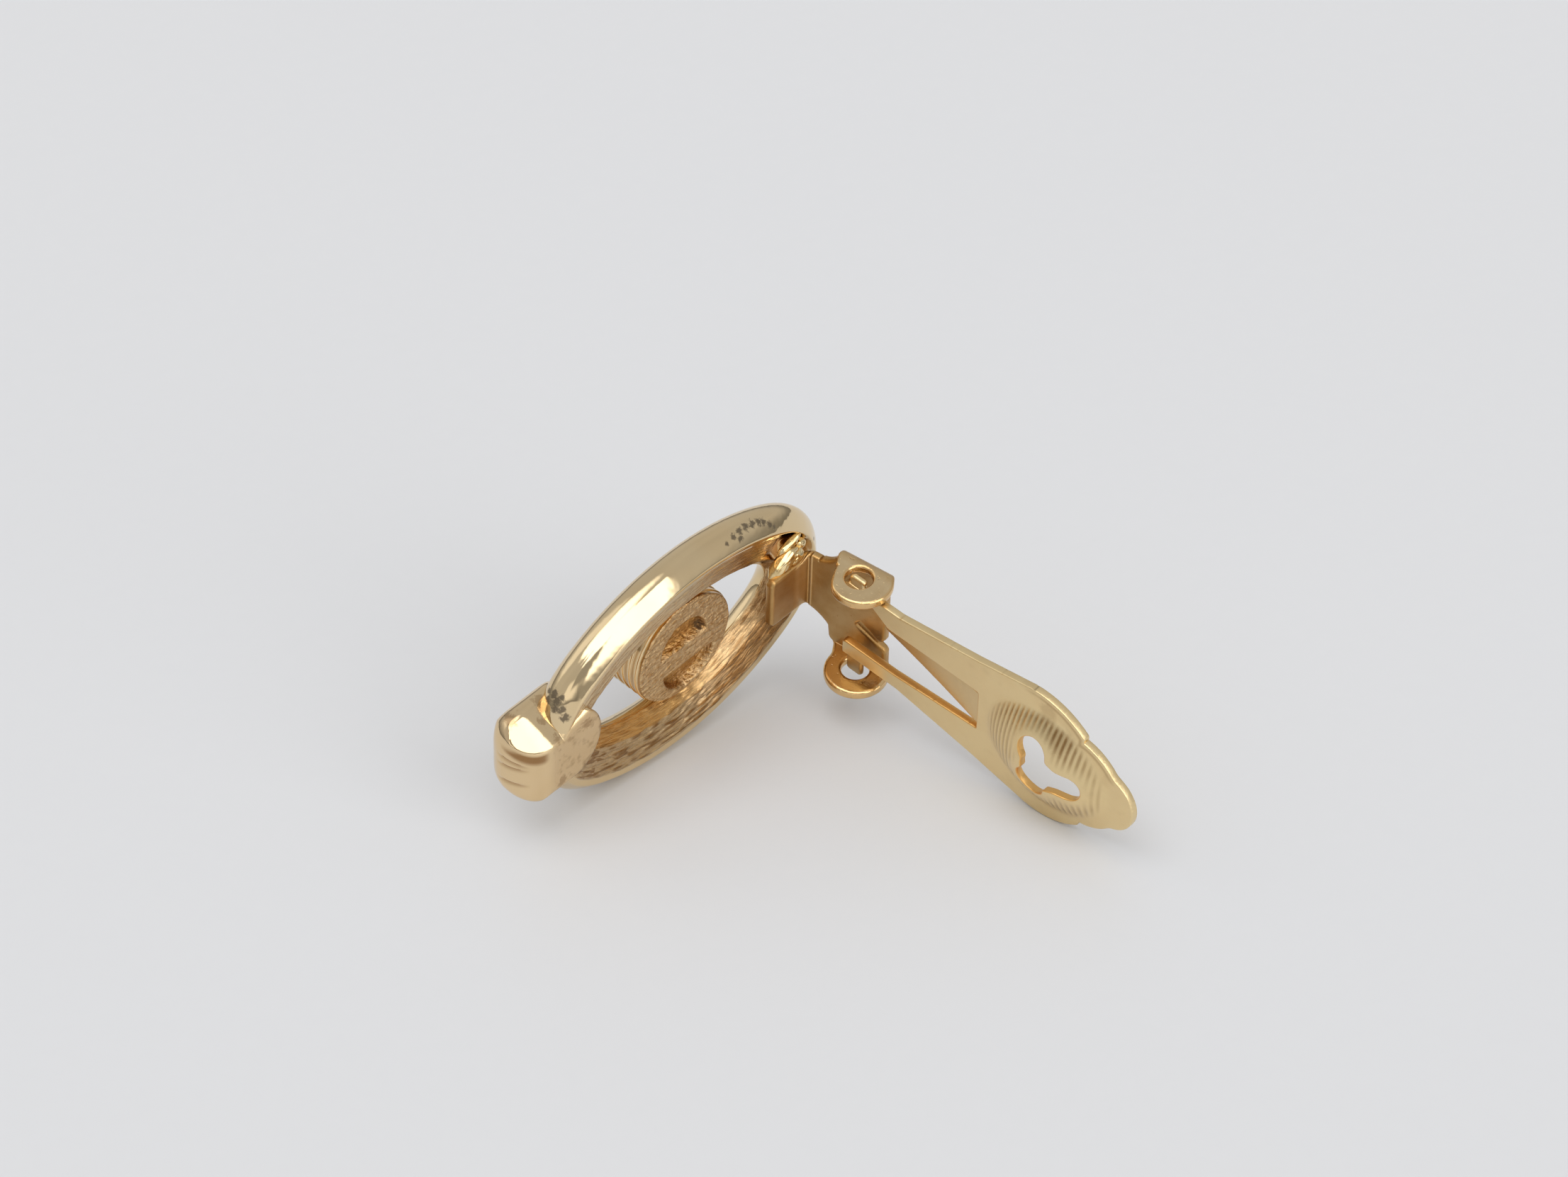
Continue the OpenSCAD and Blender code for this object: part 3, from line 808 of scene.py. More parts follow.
def lug_paint(bench, place):
    """Bright sides, a satin back, brown in the scratches, painted shade in the crease and a
    painted dark reflection under the facet.
    """
    x, y, z = bench.parts(place)
    satin_back = z.ramp(0.14, 0.03) * x.ramp(9.3, 8.7)
    mottle = bench.grain(place, 1.6, 4.0, 0.6)
    # Stains on the flat back, and painted shade in the crease beside the band.
    stains = spot_mask(bench, place, LUG_STAINS_AND_SHADE, 2.6, 3.5)
    below = bench.node("ShaderNodeVectorMath", {"operation": "DOT_PRODUCT"},
                       {0: place, 1: FACET}, "Value") - FACET_C
    # Painted dark reflection of the shaded table, in a stripe just under the facet's lower edge.
    painted_dark_reflection = below.ramp(-0.04, -0.14) * below.ramp(-0.62, -0.34)
    painted_dark_reflection = painted_dark_reflection * x.ramp(9.2, 9.6) * y.ramp(1.7, 1.2)
    worn = satin_back * (0.12 + mottle.ramp(0.5, 0.7) * 0.35)
    brown = worn + stains * 0.45 + bench.attribute("groove") * 0.5
    brown = brown + painted_dark_reflection * 0.8 + x.ramp(9.4, 9.9) * 0.1
    dull = satin_back + mottle.ramp(0.5, 0.8) * 0.05 + stains * 0.3
    return brown, dull, mottle * (0.15 + satin_back * 0.5), []


lug_gold = plated("lug_gold", JEWEL, lug_paint)
finish_piece(lug, JEWEL, lug_gold, "jewel", "jewel_frame")

# %% [markdown]
# ## Pieces pressed from sheet
# The bracket and the paddle were punched from thin sheet and then bent. A filled curve
# would give the outline, but its one large face can't bend. So each is drawn as a flat
# shape first: a function that says how far a point is from the cut edge, below 0 inside.
# A grid is cut along that edge, given its thickness with softly rounded cut edges, and
# only then bent or domed, as the press did it.

# %% Flat shapes


def disc(x, y, cx, cy, r):
    """A disc with its middle at cx, cy."""
    return np.hypot(x - cx, y - cy) - r


def slab(x, y, x0, x1, y0, y1, r=0.0):
    """A rectangle whose corners have radius r."""
    dx = abs(x - (x0 + x1) / 2) - (x1 - x0) / 2 + r
    dy = abs(y - (y0 + y1) / 2) - (y1 - y0) / 2 + r
    return np.hypot(np.maximum(dx, 0), np.maximum(dy, 0)) + np.minimum(np.maximum(dx, dy), 0) - r


def many_sided(x, y, corners):
    """Distance from a polygon, below 0 inside; corners run anticlockwise."""
    far, inside = np.full(np.shape(x), 1e9), np.full(np.shape(x), -1)
    for (ax, ay), (bx, by) in zip(corners, corners[1:] + corners[:1]):
        ex, ey, wx, wy = bx - ax, by - ay, x - ax, y - ay
        t = np.clip((wx * ex + wy * ey) / (ex * ex + ey * ey), 0, 1)
        far = np.minimum(far, np.hypot(wx - ex * t, wy - ey * t))
        crosses = ((ay > y) != (by > y)) & (wx < ex * wy / (ey if ey else 1e-9))
        inside = np.where(crosses, -inside, inside)
    return -inside * far


def merged(a, b, soft=0.0):
    """Both shapes as one, with a fillet of about that size where they meet."""
    if not soft:
        return np.minimum(a, b)
    h = np.clip(0.5 + 0.5 * (b - a) / soft, 0, 1)
    return b * (1 - h) + a * h - soft * h * (1 - h)


def cut_out(shape, hole):
    """The shape without what lies in the hole."""
    return np.maximum(shape, -hole)


# %% Cut a sheet from a grid


def cut_grid(shape, low, high, step):
    """Points and faces of a grid, cut along shape = 0."""
    xs = np.arange(low[0], high[0] + step, step)
    ys = np.arange(low[1], high[1] + step, step)
    gx, gy = np.meshgrid(xs, ys, indexing="ij")
    d = shape(gx, gy)
    inside = d < 0
    index = -np.ones(d.shape, int)
    index[inside] = np.arange(inside.sum())
    points = [np.stack([gx[inside], gy[inside]], 1)]
    total = inside.sum()
    crossing = []
    for axis in (0, 1):
        a, b = (d[:-1], d[1:]) if axis == 0 else (d[:, :-1], d[:, 1:])
        cut = (a < 0) != (b < 0)
        t = np.clip(a[cut] / (a[cut] - b[cut]), 0.08, 0.92)
        where = np.argwhere(cut)
        start = np.stack([xs[where[:, 0]], ys[where[:, 1]]], 1)
        start[:, axis] += t * step
        number = -np.ones(cut.shape, int)
        number[cut] = total + np.arange(cut.sum())
        total += cut.sum()
        points.append(start)
        crossing.append(number)
    along_x, along_y = crossing
    faces = []
    any_in = inside[:-1, :-1] | inside[1:, :-1] | inside[1:, 1:] | inside[:-1, 1:]
    for i, j in np.argwhere(any_in):
        ring = (index[i, j], along_x[i, j], index[i + 1, j], along_y[i + 1, j],
                index[i + 1, j + 1], along_x[i, j + 1], index[i, j + 1], along_y[i, j])
        faces.append([int(k) for k in ring if k >= 0])
    return np.concatenate(points), [f for f in faces if len(f) > 2]


# %% Give a flat shape its thickness


def sheet(shape, low, high, step, thickness, edge, edge_rows=3, h=0.01):
    """A flat sheet with rounded cut edges: points (x, y, z), faces, and 1 on the cut."""
    flat, tops = cut_grid(lambda x, y: shape(x, y) + edge, low, high, step)
    directed = {(a, b) for f in tops for a, b in zip(f, f[1:] + f[:1])}
    border = [(a, b) for a, b in directed if (b, a) not in directed]
    rim_ids = sorted({k for ab in border for k in ab})
    slot_of = {k: n for n, k in enumerate(rim_ids)}
    x, y = flat[rim_ids].T
    slope = np.stack([shape(x + h, y) - shape(x - h, y), shape(x, y + h) - shape(x, y - h)], 1)
    slope /= np.maximum(np.linalg.norm(slope, axis=1), 1e-9)[:, None]
    half = thickness / 2
    turn = np.radians(np.linspace(0, 90, edge_rows + 1)[1:])
    curve = [(edge * np.sin(a), half - edge * (1 - np.cos(a))) for a in turn]
    curve += [(o, -z) for o, z in curve[::-1]]
    n, m = len(flat), len(rim_ids)
    rows = [np.column_stack([flat[rim_ids] + slope * o, np.full(m, z)]) for o, z in curve]
    points = np.vstack([np.column_stack([flat, np.full(n, half)]),
                        np.column_stack([flat, np.full(n, -half)]), *rows])
    rings = [rim_ids] + [list(range(2 * n + k * m, 2 * n + (k + 1) * m))
                         for k in range(len(curve))] + [[k + n for k in rim_ids]]
    faces = list(tops) + [[k + n for k in f[::-1]] for f in tops]
    for upper, lower in zip(rings, rings[1:]):
        for a, b in border:
            a, b = slot_of[a], slot_of[b]
            faces.append([upper[b], upper[a], lower[a], lower[b]])
    return points, faces, (np.arange(len(points)) >= 2 * n) * 1.0


# %% [markdown]
# ## The hinge bracket
# A strip is soldered to the ring's back, bends away from it and widens into a plate,
# whose two ends turn up as ears with the hinge's holes. It could be put together from
# bent plates, but then its grain would break at each fold. So one flat pattern is bent,
# as the maker did: across at the stem, and along at both ears.

# %% Flat pattern of the bracket
BRACKET_T, EARS_W, EAR_R, HOLE_R = 0.48, 6.9, 1.5, 0.66
PLATE_GAP, PLATE_FAR, STEM_HALF = 0.8, 1.05, 1.75
EAR_BEND = 0.28
EAR_START = EARS_W / 2 - BRACKET_T / 2 - EAR_BEND
EAR_AXIS = EAR_START + EAR_BEND * np.pi / 2 + PLATE_GAP + BRACKET_T / 2 - EAR_BEND
STEM_START, STEM_BEND, STEM_END = -3.2, 0.42, -6.1
PUNCH_R = 0.08
# Corners of the foot under each ear, and of the notch beside the lower one
UPPER_FOOT = [(-1.64, -3.0), (1.1, -3.0), (1.16, -1.15), (1.64, -0.05), (-1.38, -0.05),
              (-1.68, -0.79)]
LOWER_FOOT = [(-2.3, -3.0), (1.1, -3.0), (1.1, -1.0), (1.3, -0.3), (-1.4, 0.0),
              (-1.76, -0.75), (-2.14, -1.32)]
NOTCH = [(-0.32, -1.16), (-0.45, -1.32), (1.2, -2.22), (1.9, -2.22), (1.9, -1.7),
         (1.0, -1.75), (0.7, -1.92)]


def ear_shape(x, w, upper):
    """The ear seen from the side, with its hole's middle at 0, 0 and the fold below."""
    if upper:
        slant = (x + 0.81) * -0.92 + (w - 1.25) * 0.392
        round_end = both(disc(x, w, 0.2, 0.05, 1.5), slant, 0.15)
    else:
        round_end = disc(x, w, 0.08, 0.02, 1.56)
    foot = many_sided(x, w, UPPER_FOOT if upper else LOWER_FOOT)
    return cut_out(merged(round_end, foot, 0.12), disc(x, w, 0, 0, HOLE_R))


def bracket_shape(x, y):
    """The whole bracket before it is bent: stem, plate with rounded wings, and ears."""
    stem_half = STEM_HALF - 0.22 * np.clip((STEM_START - x) / 0.8, 0, 1)
    shape = np.maximum(abs(y) - stem_half, np.maximum(x - PLATE_FAR, STEM_END - x))
    for s in (1, -1):
        v, reach = s * y, EARS_W / 2 + s * EARS_MID
        flare = reach - STEM_HALF
        wing = cut_out(slab(x, v, -EAR_R - flare, PLATE_FAR, -0.5, reach),
                       disc(x, v, -EAR_R - 0.2 - flare, reach, flare))
        shape = np.minimum(shape, wing)
        ear = ear_shape(x, s * (y - EARS_MID) - EAR_AXIS, s > 0)
        beyond = s * (y - EARS_MID) - EAR_START
        shape = np.where(beyond > 0, ear, np.minimum(shape, np.where(beyond > -1, ear, 9.0)))
    return cut_out(shape, many_sided(x, y, NOTCH) - PUNCH_R)


# %% Bend the bracket


def bent_bracket(points):
    """The flat pattern, bent at both ears and at the stem."""
    x, y, z = points.T
    y = y - EARS_MID
    s = np.sign(y)
    past = abs(y) - EAR_START
    angle = np.clip(past / EAR_BEND, 0, np.pi / 2)
    straight = np.maximum(past - EAR_BEND * np.pi / 2, 0)
    over = np.where(past < 0, abs(y), EAR_START + (EAR_BEND - z) * np.sin(angle))
    rise = np.where(past < 0, z, EAR_BEND - (EAR_BEND - z) * np.cos(angle)) + straight
    middle_z, full_turn = -PLATE_GAP - BRACKET_T / 2, np.radians(90 - PLATE_SLANT)
    sheet_z = middle_z + rise
    stem = np.maximum(STEM_START - x, 0)
    turn = np.minimum(stem / STEM_BEND, full_turn)
    run = np.maximum(stem - STEM_BEND * full_turn, 0)
    r = STEM_BEND - (sheet_z - middle_z)
    bent_x = STEM_START - r * np.sin(turn) - run * np.cos(turn)
    bent_z = middle_z + STEM_BEND - r * np.cos(turn) + run * np.sin(turn)
    bent = x < STEM_START
    return np.column_stack([np.where(bent, bent_x, x), s * over + EARS_MID,
                            np.where(bent, bent_z, sheet_z)])


pattern, bracket_faces, cut = sheet(
    bracket_shape, (-6.3, -6.3), (2.2, 5.5), step=0.08, thickness=BRACKET_T, edge=0.15)
bracket_points = bent_bracket(pattern)
print("bracket, laid flat", np.ptp(pattern, axis=0).round(2), "mm")
print("bracket, bent", np.ptp(bracket_points, axis=0).round(2), "mm")
ear_share = np.clip((abs(pattern[:, 1] - EARS_MID) - EAR_START) / 0.8, 0, 1)
lower_ear = ear_share * (pattern[:, 1] < 0)
hinge_bracket = mesh_from("hinge_bracket", bracket_points, bracket_faces, {
    "ear": ear_share, "orange": np.maximum(0.5 * cut, lower_ear * 0.4)})

# %% [markdown]
# ## What the bracket looks like
# The plate is brown and dull from years of skin and polish, while the ears are rubbed
# bright by the turning clip. A stored share tells the ears from the plate, so that one
# material serves both. Two fine creases run where the strip was folded.

# %% Finish of the bracket
CREASES = (-3.42, -3.2)
BRACKET_SHADE = [(0.7, -2.9, -0.8, 0.7), (-0.1, -2.3, -0.8, 0.6)]


def bracket_paint(bench, place):
    """Brown and pitted on the plate, bright on the ears."""
    x, _, z = bench.parts(place)
    pits = bench.grain(place, 7.0, 2.0).ramp(0.66, 0.74)
    cloud = bench.grain(place, 1.1, 3.0)
    ear = bench.attribute("ear")
    first, second = [(x - at).size().ramp(0.09, 0.02) * z.ramp(-1.2, -0.9) for at in CREASES]
    ribs = first.most(second)
    shade = spot_mask(bench, place, BRACKET_SHADE, 0.8)
    brown = 0.74 + cloud.ramp(0.3, 0.8) * 0.25 - ear * 0.68
    brown = brown + pits * 0.3 + shade * 0.3 - ribs * 0.4
    dull = 0.75 - ear * 0.6 + cloud * 0.15
    return brown, dull, bench.grain(place, 9.0, 3.0) * 0.5 - pits * 0.6 + ribs * 4.0, []


bracket_gold = plated("bracket_gold", PLATE, bracket_paint)
finish_piece(hinge_bracket, PLATE, bracket_gold, "jewel", "jewel_frame")

# %% [markdown]
# ## Solder
# Where the strip meets the ring, a little solder ran and froze in four shiny lumps.
# Metaballs would melt them into one smooth drop. A ball for each, stretched and pushed
# about by noise, keeps them as separate as the real ones are.

# %% Lumps of solder
# middle, radii, and degrees turned in the ring's plane
LUMPS = [((-6.15, 1.78, -0.02), (1.0, 0.42, 0.4), -25),
         ((-6.85, 2.35, 0.25), (0.8, 0.24, 0.24), -18),
         ((-7.5, 1.95, 0.2), (0.35, 0.3, 0.3), 0),
         ((-6.8, 1.8, -0.05), (0.6, 0.3, 0.42), -10)]
WOBBLE, WOBBLE_FINENESS = 0.12, 1.7


def lump_points(directions, middle, radii, degrees, seed):
    """A ball, stretched, pushed about by noise, turned and put in its place."""
    wobble = np.array([noise.noise(Vector(d) * WOBBLE_FINENESS + Vector((seed, 0, 0)))
                       for d in directions])
    x, y, z = (directions * radii * (1 + WOBBLE * wobble)[:, None]).T
    c, s = np.cos(np.radians(degrees)), np.sin(np.radians(degrees))
    return np.column_stack([x * c - y * s, x * s + y * c, z]) + middle


directions, ball_faces = globe(22)
blobs = [lump_points(directions, *lump, seed=5 + 3 * k) for k, lump in enumerate(LUMPS)]
blob_faces = [[v + k * len(directions) for v in f]
              for k in range(len(LUMPS)) for f in ball_faces]
solder = mesh_from("solder", np.vstack(blobs), blob_faces)
weld(solder, 0.001)


def solder_paint(bench, place):
    """Bright, with soft brown clouds."""
    cloud = bench.grain(place, 1.8, 3.0)
    return cloud.ramp(0.45, 0.75) * 0.5, cloud * 0.5, cloud, []


solder_gold = plated("solder_gold", JEWEL, solder_paint)
finish_piece(solder, JEWEL, solder_gold, "jewel", "jewel_frame")

# %% [markdown]
# ## The clip paddle
# The paddle is one pressed sheet: two prongs with a spring tongue between them, and a
# domed pad that presses the ear lobe, with a keyhole through it and fine grooves
# across it. The slot narrows toward the pad, and the upper prong is cut back at its
# neck. The dome could be sculpted, but as a function of the place it stays even, and
# every hole and edge follows it. It is a lens that turns about the paddle's length.

# %% Flat shape of the paddle
PADDLE_T, PADDLE_LEN, PADDLE_HALF = 0.42, 17.2, 4.05
NECK_HALF, NECK_LEN, PRONG_BACK = 2.5, 2.7, 0.7
PAD_MID, PAD_LEN, PAD_WID, PAD_H, SLOT_W = 12.0, 7.2, 6.0, 1.05, 2.45
WIDE_X, NOTCH_X, LOBE_R, TIP_R = 11.0, 14.1, 2.8, 1.75
# Corners of the slot, and of what is cut from the upper prong's neck
SLOT = [(-3, -1.57), (2.5, -1.55), (7.62, -1.2), (7.62, 1.145), (-3, 1.145)]
UPPER_NECK = [(-1.5, 1.0), (2.1, 1.0), (2.1, 1.2), (1.0, 1.95), (-1.5, 1.95)]
# The keyhole's middle and its side lobes as x, y and radius, and its slot as a slab
KEY_MIDDLE, KEY_LOBE, KEY_SLOT = (12.25, 0, 1.0), (11.75, 1.0, 0.8), (12.2, 14.5, -0.72, 0.72, 0.7)


def keyhole(x, y):
    """A round hole with a lobe on each side and a short slot toward the tip."""
    shape = merged(disc(x, y, *KEY_MIDDLE), slab(x, y, *KEY_SLOT), 0.25)
    for s in (1, -1):
        shape = merged(shape, disc(x, s * y, *KEY_LOBE), 0.12)
    return shape


def paddle_outline(x, y):
    """The paddle's outer edge, from the hinge to the tip."""
    half = np.interp(x, [-1, NECK_LEN, 7.4, WIDE_X], [NECK_HALF, NECK_HALF, 3.3, PADDLE_HALF])
    blade = np.maximum(abs(y) - half, np.maximum(x - WIDE_X, -PRONG_BACK - x))
    ends = np.maximum(x - NOTCH_X, WIDE_X - 2 - x)
    wide = np.maximum(disc(x, y, WIDE_X + 0.4, 0, PADDLE_HALF), ends)
    shape = np.minimum(blade, wide)
    shape = merged(shape, disc(x, y, NOTCH_X - 0.4, 0, LOBE_R), 0.08)
    return merged(shape, disc(x, y, PADDLE_LEN - TIP_R, 0, TIP_R), 0.15)


def paddle_shape(x, y):
    """The paddle with its slot, its cut neck and its keyhole."""
    shape = cut_out(paddle_outline(x, y), many_sided(x, y, SLOT) - PUNCH_R)
    shape = cut_out(shape, many_sided(x, y, UPPER_NECK))
    return cut_out(shape, keyhole(x, y))


# %% Dome the paddle


def pad_height(x, y):
    """The dome over the paddle's face."""
    arc_r = ((PAD_LEN / 2) ** 2 + PAD_H ** 2) / (2 * PAD_H)
    axis_z = ((PAD_WID / 2) ** 2 - PAD_H ** 2) / (2 * PAD_H)
    ring = np.sqrt(np.maximum(arc_r ** 2 - (x - PAD_MID) ** 2, 0)) - (arc_r - axis_z - PAD_H)
    dome = np.sqrt(np.maximum(ring ** 2 - y ** 2, 0)) - axis_z
    return np.where(dome > -1, 0.5 * (dome + np.sqrt(dome ** 2 + 0.012)), 0)


pad, paddle_faces, cut = sheet(
    paddle_shape, (-1.0, -4.3), (17.5, 4.3), step=0.075, thickness=PADDLE_T, edge=0.07)
x, y, z = pad.T
on_face = z > 0.1
dome = pad_height(x, y)
clear = np.clip((keyhole(x, y) - 0.25) / 0.6, 0, 1)
press = np.clip((dome - 0.05) / 0.18, 0, 1) * clear
# A line of painted shade just inside the pad's upper edge.
painted_rim_shade = np.exp(-((paddle_outline(x, y) + 0.22) / 0.08) ** 2) * np.clip(y / 0.8 - 1, 0, 1)
painted_rim_shade *= np.clip((x - 10.3) / 1.5, 0, 1) * np.clip((16.2 - x) / 0.8, 0, 1)
inner_cut = cut * (abs(y) < 1.95) * (x < 14.7)
paddle_sheet = mesh_from("paddle_sheet", np.column_stack([x, y, z + dome]), paddle_faces, {
    "press": press * on_face, "orange": inner_cut, "rim": painted_rim_shade * on_face})
print("paddle, laid flat", np.ptp(pad, axis=0).round(2), "mm, dome", round(dome.max(), 2), "mm")

# %% [markdown]
# ## Grooves in the pad
# Fine grooves across the dome give the pad its grip. A bump would show them from above
# but leave the dome's outline smooth. They repeat at an even pitch, so Geometry Nodes
# press them in: each point moves down by a wave of its place along the paddle, as far as
# the stored `press` allows. The tree also stores how deep each point lies, for the dirt
# in the material.

# %% Press the grooves
FIRST_GROOVE, GROOVE_PITCH, GROOVE_DEPTH = 8.85, 0.3, 0.07
groove_tree = Tree("pressed_grooves", {"First": "Float", "Pitch": "Float", "Depth": "Float"})
given = groove_tree.given
along, _, _ = groove_tree.parts(groove_tree.node("GeometryNodeInputPosition"))
stored = groove_tree.node(
    "GeometryNodeInputNamedAttribute", {"data_type": "FLOAT"}, {"Name": "press"})
phase = (along - given["First"]) / given["Pitch"] * (2 * np.pi) + np.pi / 2
valley_and_shade = ((0.5 - 0.5 * phase.sine()) ** 1.5) * stored
lower = groove_tree.node("ShaderNodeCombineXYZ", {}, {2: valley_and_shade * given["Depth"] * -1.0})
pressed = groove_tree.node("GeometryNodeSetPosition", {}, {
    "Geometry": given["Geometry"], "Offset": lower})
grooved_pad = groove_tree.node(
    "GeometryNodeStoreNamedAttribute", {"data_type": "FLOAT", "domain": "POINT"}, {
        "Geometry": pressed, "Name": "valley_and_shade", "Value": valley_and_shade})
print("groove tree:", len(groove_tree.tree.nodes), "nodes")

# %% [markdown]
# ## What the paddle looks like
# It is satin rather than polished, with dirt in the grooves, more of it toward one side,
# a painted shade line along its rim and the deep orange of unworn plating on the punched edges.
# The stored `valley_and_shade` puts the dirt exactly into the grooves, which noise could not do.

# %% Finish of the paddle
PADDLE_STAINS = [(13.0, 2.3, 0.5, 0.9), (11.9, 3.2, 0.2, 0.7)]


def paddle_paint(bench, place):
    """Satin, with dirt in the grooves and painted shade along the rim."""
    x, y, _ = bench.parts(place)
    # Dirt in the pad's grooves, and painted shade on the tongue and the lower tab, share this
    # stored value.
    groove_dirt_and_shade = bench.attribute("valley_and_shade")
    side_dark = y.ramp(0.2, 2.2) * x.ramp(10.0, 12.0) * x.ramp(15.2, 13.6)
    cloud = bench.grain(place, 0.8, 3.0)
    tarnish = spot_mask(bench, place, PADDLE_STAINS, 1.2)
    side_dark = side_dark.most(y.ramp(-1.6, -2.2) * 0.5)
    brown = groove_dirt_and_shade * (0.5 + side_dark * 0.45) + cloud.ramp(0.55, 0.8) * 0.12
    # The stored rim share is painted shade along the pad's upper edge.
    brown = brown + bench.attribute("rim") * 0.55 + tarnish * 0.25
    dull = 0.75 + cloud * 0.3
    return brown, dull, bench.grain(place, 8.0, 2.0), []


paddle_gold = plated("paddle_gold", PADDLE, paddle_paint)
groove_tree.end(grooved_pad, paddle_gold)
groove_tree.grow(paddle_sheet, {
    "First": FIRST_GROOVE, "Pitch": GROOVE_PITCH, "Depth": GROOVE_DEPTH})
finish_piece(paddle_sheet, PADDLE, paddle_gold, "clip", "clip_paddle")

# %% [markdown]
# ## Tongue and tabs
# The spring tongue stays in its slot and bends back to the bracket's plate, and a flat
# tab on each prong turns in its ear's hole. A curve modifier could bend the tongue, but
# a smooth line through six measured heights does it in one step. Both are cut as the
# paddle is and share its finish, which reads the stored `valley_and_shade` as their painted shade.

# %% Bend the tongue
TONGUE_START, TONGUE_ROOT, TONGUE_TIP_HALF, TONGUE_PLAY = 1.0, 8.2, 0.5, 0.16
# How high the tongue lies at six places along the paddle
TONGUE_X = [1.0, 2.5, 3.9, 5.5, 7.3, 8.2]
TONGUE_Z = [-1.09, -0.9, -0.71, -0.47, -0.15, 0.0]


def tongue_shape(x, y):
    """The tongue before it is bent, wider toward the pad."""
    half = np.interp(x, [1, 7.7], [TONGUE_TIP_HALF, SLOT_W / 2 - TONGUE_PLAY])
    return np.maximum(abs(y) - half, np.maximum(TONGUE_START - x, x - TONGUE_ROOT))


tongue, tongue_faces, cut = sheet(
    tongue_shape, (0.1, -1.3), (8.4, 1.3), step=0.09, thickness=PADDLE_T - 0.04, edge=0.06)
x, y, z = tongue.T
bend = np.polyval(np.polyfit(TONGUE_X, TONGUE_Z, 3), x)
# Painted shade on the tongue: darkest at its free end, which lies deepest under the prongs, and
# none at its root.
painted_tongue_shade = np.clip(1.3 - 0.22 * x, 0.34, 0.9) * np.clip((8.1 - x) / 0.5, 0, 1)
spring_tongue = mesh_from("spring_tongue", np.column_stack([x, y, z + bend]), tongue_faces, {
    "valley_and_shade": painted_tongue_shade, "orange": cut * 0.9})
finish_piece(spring_tongue, PADDLE, paddle_gold, "clip", "clip_paddle")

# %% Place the tabs
TAB_HALF, TAB_T, TAB_CORNER = 0.46, 0.3, 0.15
# Where each tab begins and ends, from inside its prong to inside its ear's hole
TAB_SPANS = ((NECK_HALF - 0.1, EARS_W / 2 + EARS_MID - 0.02),
             (-EARS_W / 2 + EARS_MID + 0.3, -NECK_HALF + 0.1))
tabs, tab_faces = [], []
for start, end in TAB_SPANS:
    tab, faces, _ = sheet(
        lambda x, y: slab(x, y, -TAB_HALF, TAB_HALF, start, end, TAB_CORNER),
        (-0.7, start - 0.1), (0.7, end + 0.1), step=0.06, thickness=TAB_T, edge=0.12)
    tab_faces += [[v + sum(map(len, tabs)) for v in f] for f in faces]
    tabs.append(tab)
tab_points = np.vstack(tabs)
# The lower tab is painted dark as shade, for it lies in shadow in its ear's hole.
pivot_tabs = mesh_from("pivot_tabs", tab_points, tab_faces, {
    "valley_and_shade": (tab_points[:, 1] < 0) * 0.9})
finish_piece(pivot_tabs, PADDLE, paddle_gold, "clip", "clip_paddle")

# %% [markdown]
# ## The stone
# The stone keeps the solid's facets, because they are true flats already. It is clear
# glass, and behind its girdle it has a silvery foil, so that light comes back out and it
# sparkles in its closed cup. A second skin for the foil would lie a hair from the glass
# and flicker. So the one material turns to metal below the girdle's height.

# %% Finish of the stone
FOIL_TOP, FOIL_FULL = GIRDLE_Z - 0.03, GIRDLE_Z - 0.07
crystal = bpy.data.materials.new("crystal")
crystal.use_nodes = True
crystal.node_tree.nodes.clear()
bench = Bench(crystal.node_tree)
place = drawing_place(bench, JEWEL)
smudge = bench.grain(place, 1.3, 3.0).ramp(0.5, 0.75)
foil = bench.parts(place)[2].ramp(FOIL_TOP, FOIL_FULL)
glass = bench.node("ShaderNodeBsdfPrincipled", {}, {
    "Base Color": bench.tint(smudge * 0.3, (0.95, 0.97, 0.99), (0.88, 0.90, 0.93)),
    "Roughness": 0.02 + smudge * 0.05, "IOR": 1.55, "Transmission Weight": 1.0,
    "Metallic": foil, "Coat Weight": 0.3})
bench.show(glass)
stone = frame["nodes"]["rhinestone"]
stone.data.materials.clear()
stone.data.materials.append(crystal)
print("crystal:", len(crystal.node_tree.nodes), "nodes on", len(stone.data.polygons), "triangles")

# %% [markdown]
# ## The table
# The earring lies on a pale, smooth table. One large square is enough, with a faint
# mottle so that it doesn't look like paper cut from one colour.

# %% Table
FLOOR_R = 3.0
floor_points = [(x * FLOOR_R, y * FLOOR_R, 0) for x, y in ((-1, -1), (1, -1), (1, 1), (-1, 1))]
floor = mesh_from("table_top", floor_points, [[0, 1, 2, 3]])
paint = bpy.data.materials.new("table_white")
paint.use_nodes = True
paint.node_tree.nodes.clear()
bench = Bench(paint.node_tree)
place = bench.node("ShaderNodeTexCoord", {}, {}, "Object")
mottle = bench.grain(place, 900.0, 2.0)
table_shader = bench.node("ShaderNodeBsdfPrincipled", {}, {
    "Base Color": bench.tint(mottle * 0.3, (0.70, 0.708, 0.726), (0.665, 0.673, 0.69)),
    "Roughness": 0.45 + mottle * 0.1})
bench.show(table_shader)
floor.data.materials.append(paint)
print("table", 2 * FLOOR_R, "m across")

# %% [markdown]
# ## The room
# Polished metal shows what is round it, and lamps would show as small hard shapes. So
# the room itself is the lamp: grey walls, darker low down, wide bright windows on the
# viewer's side, a lit ceiling, and the viewer's own dark shape in front. Each is a soft
# patch between two sides and two heights, painted over the walls in turn.

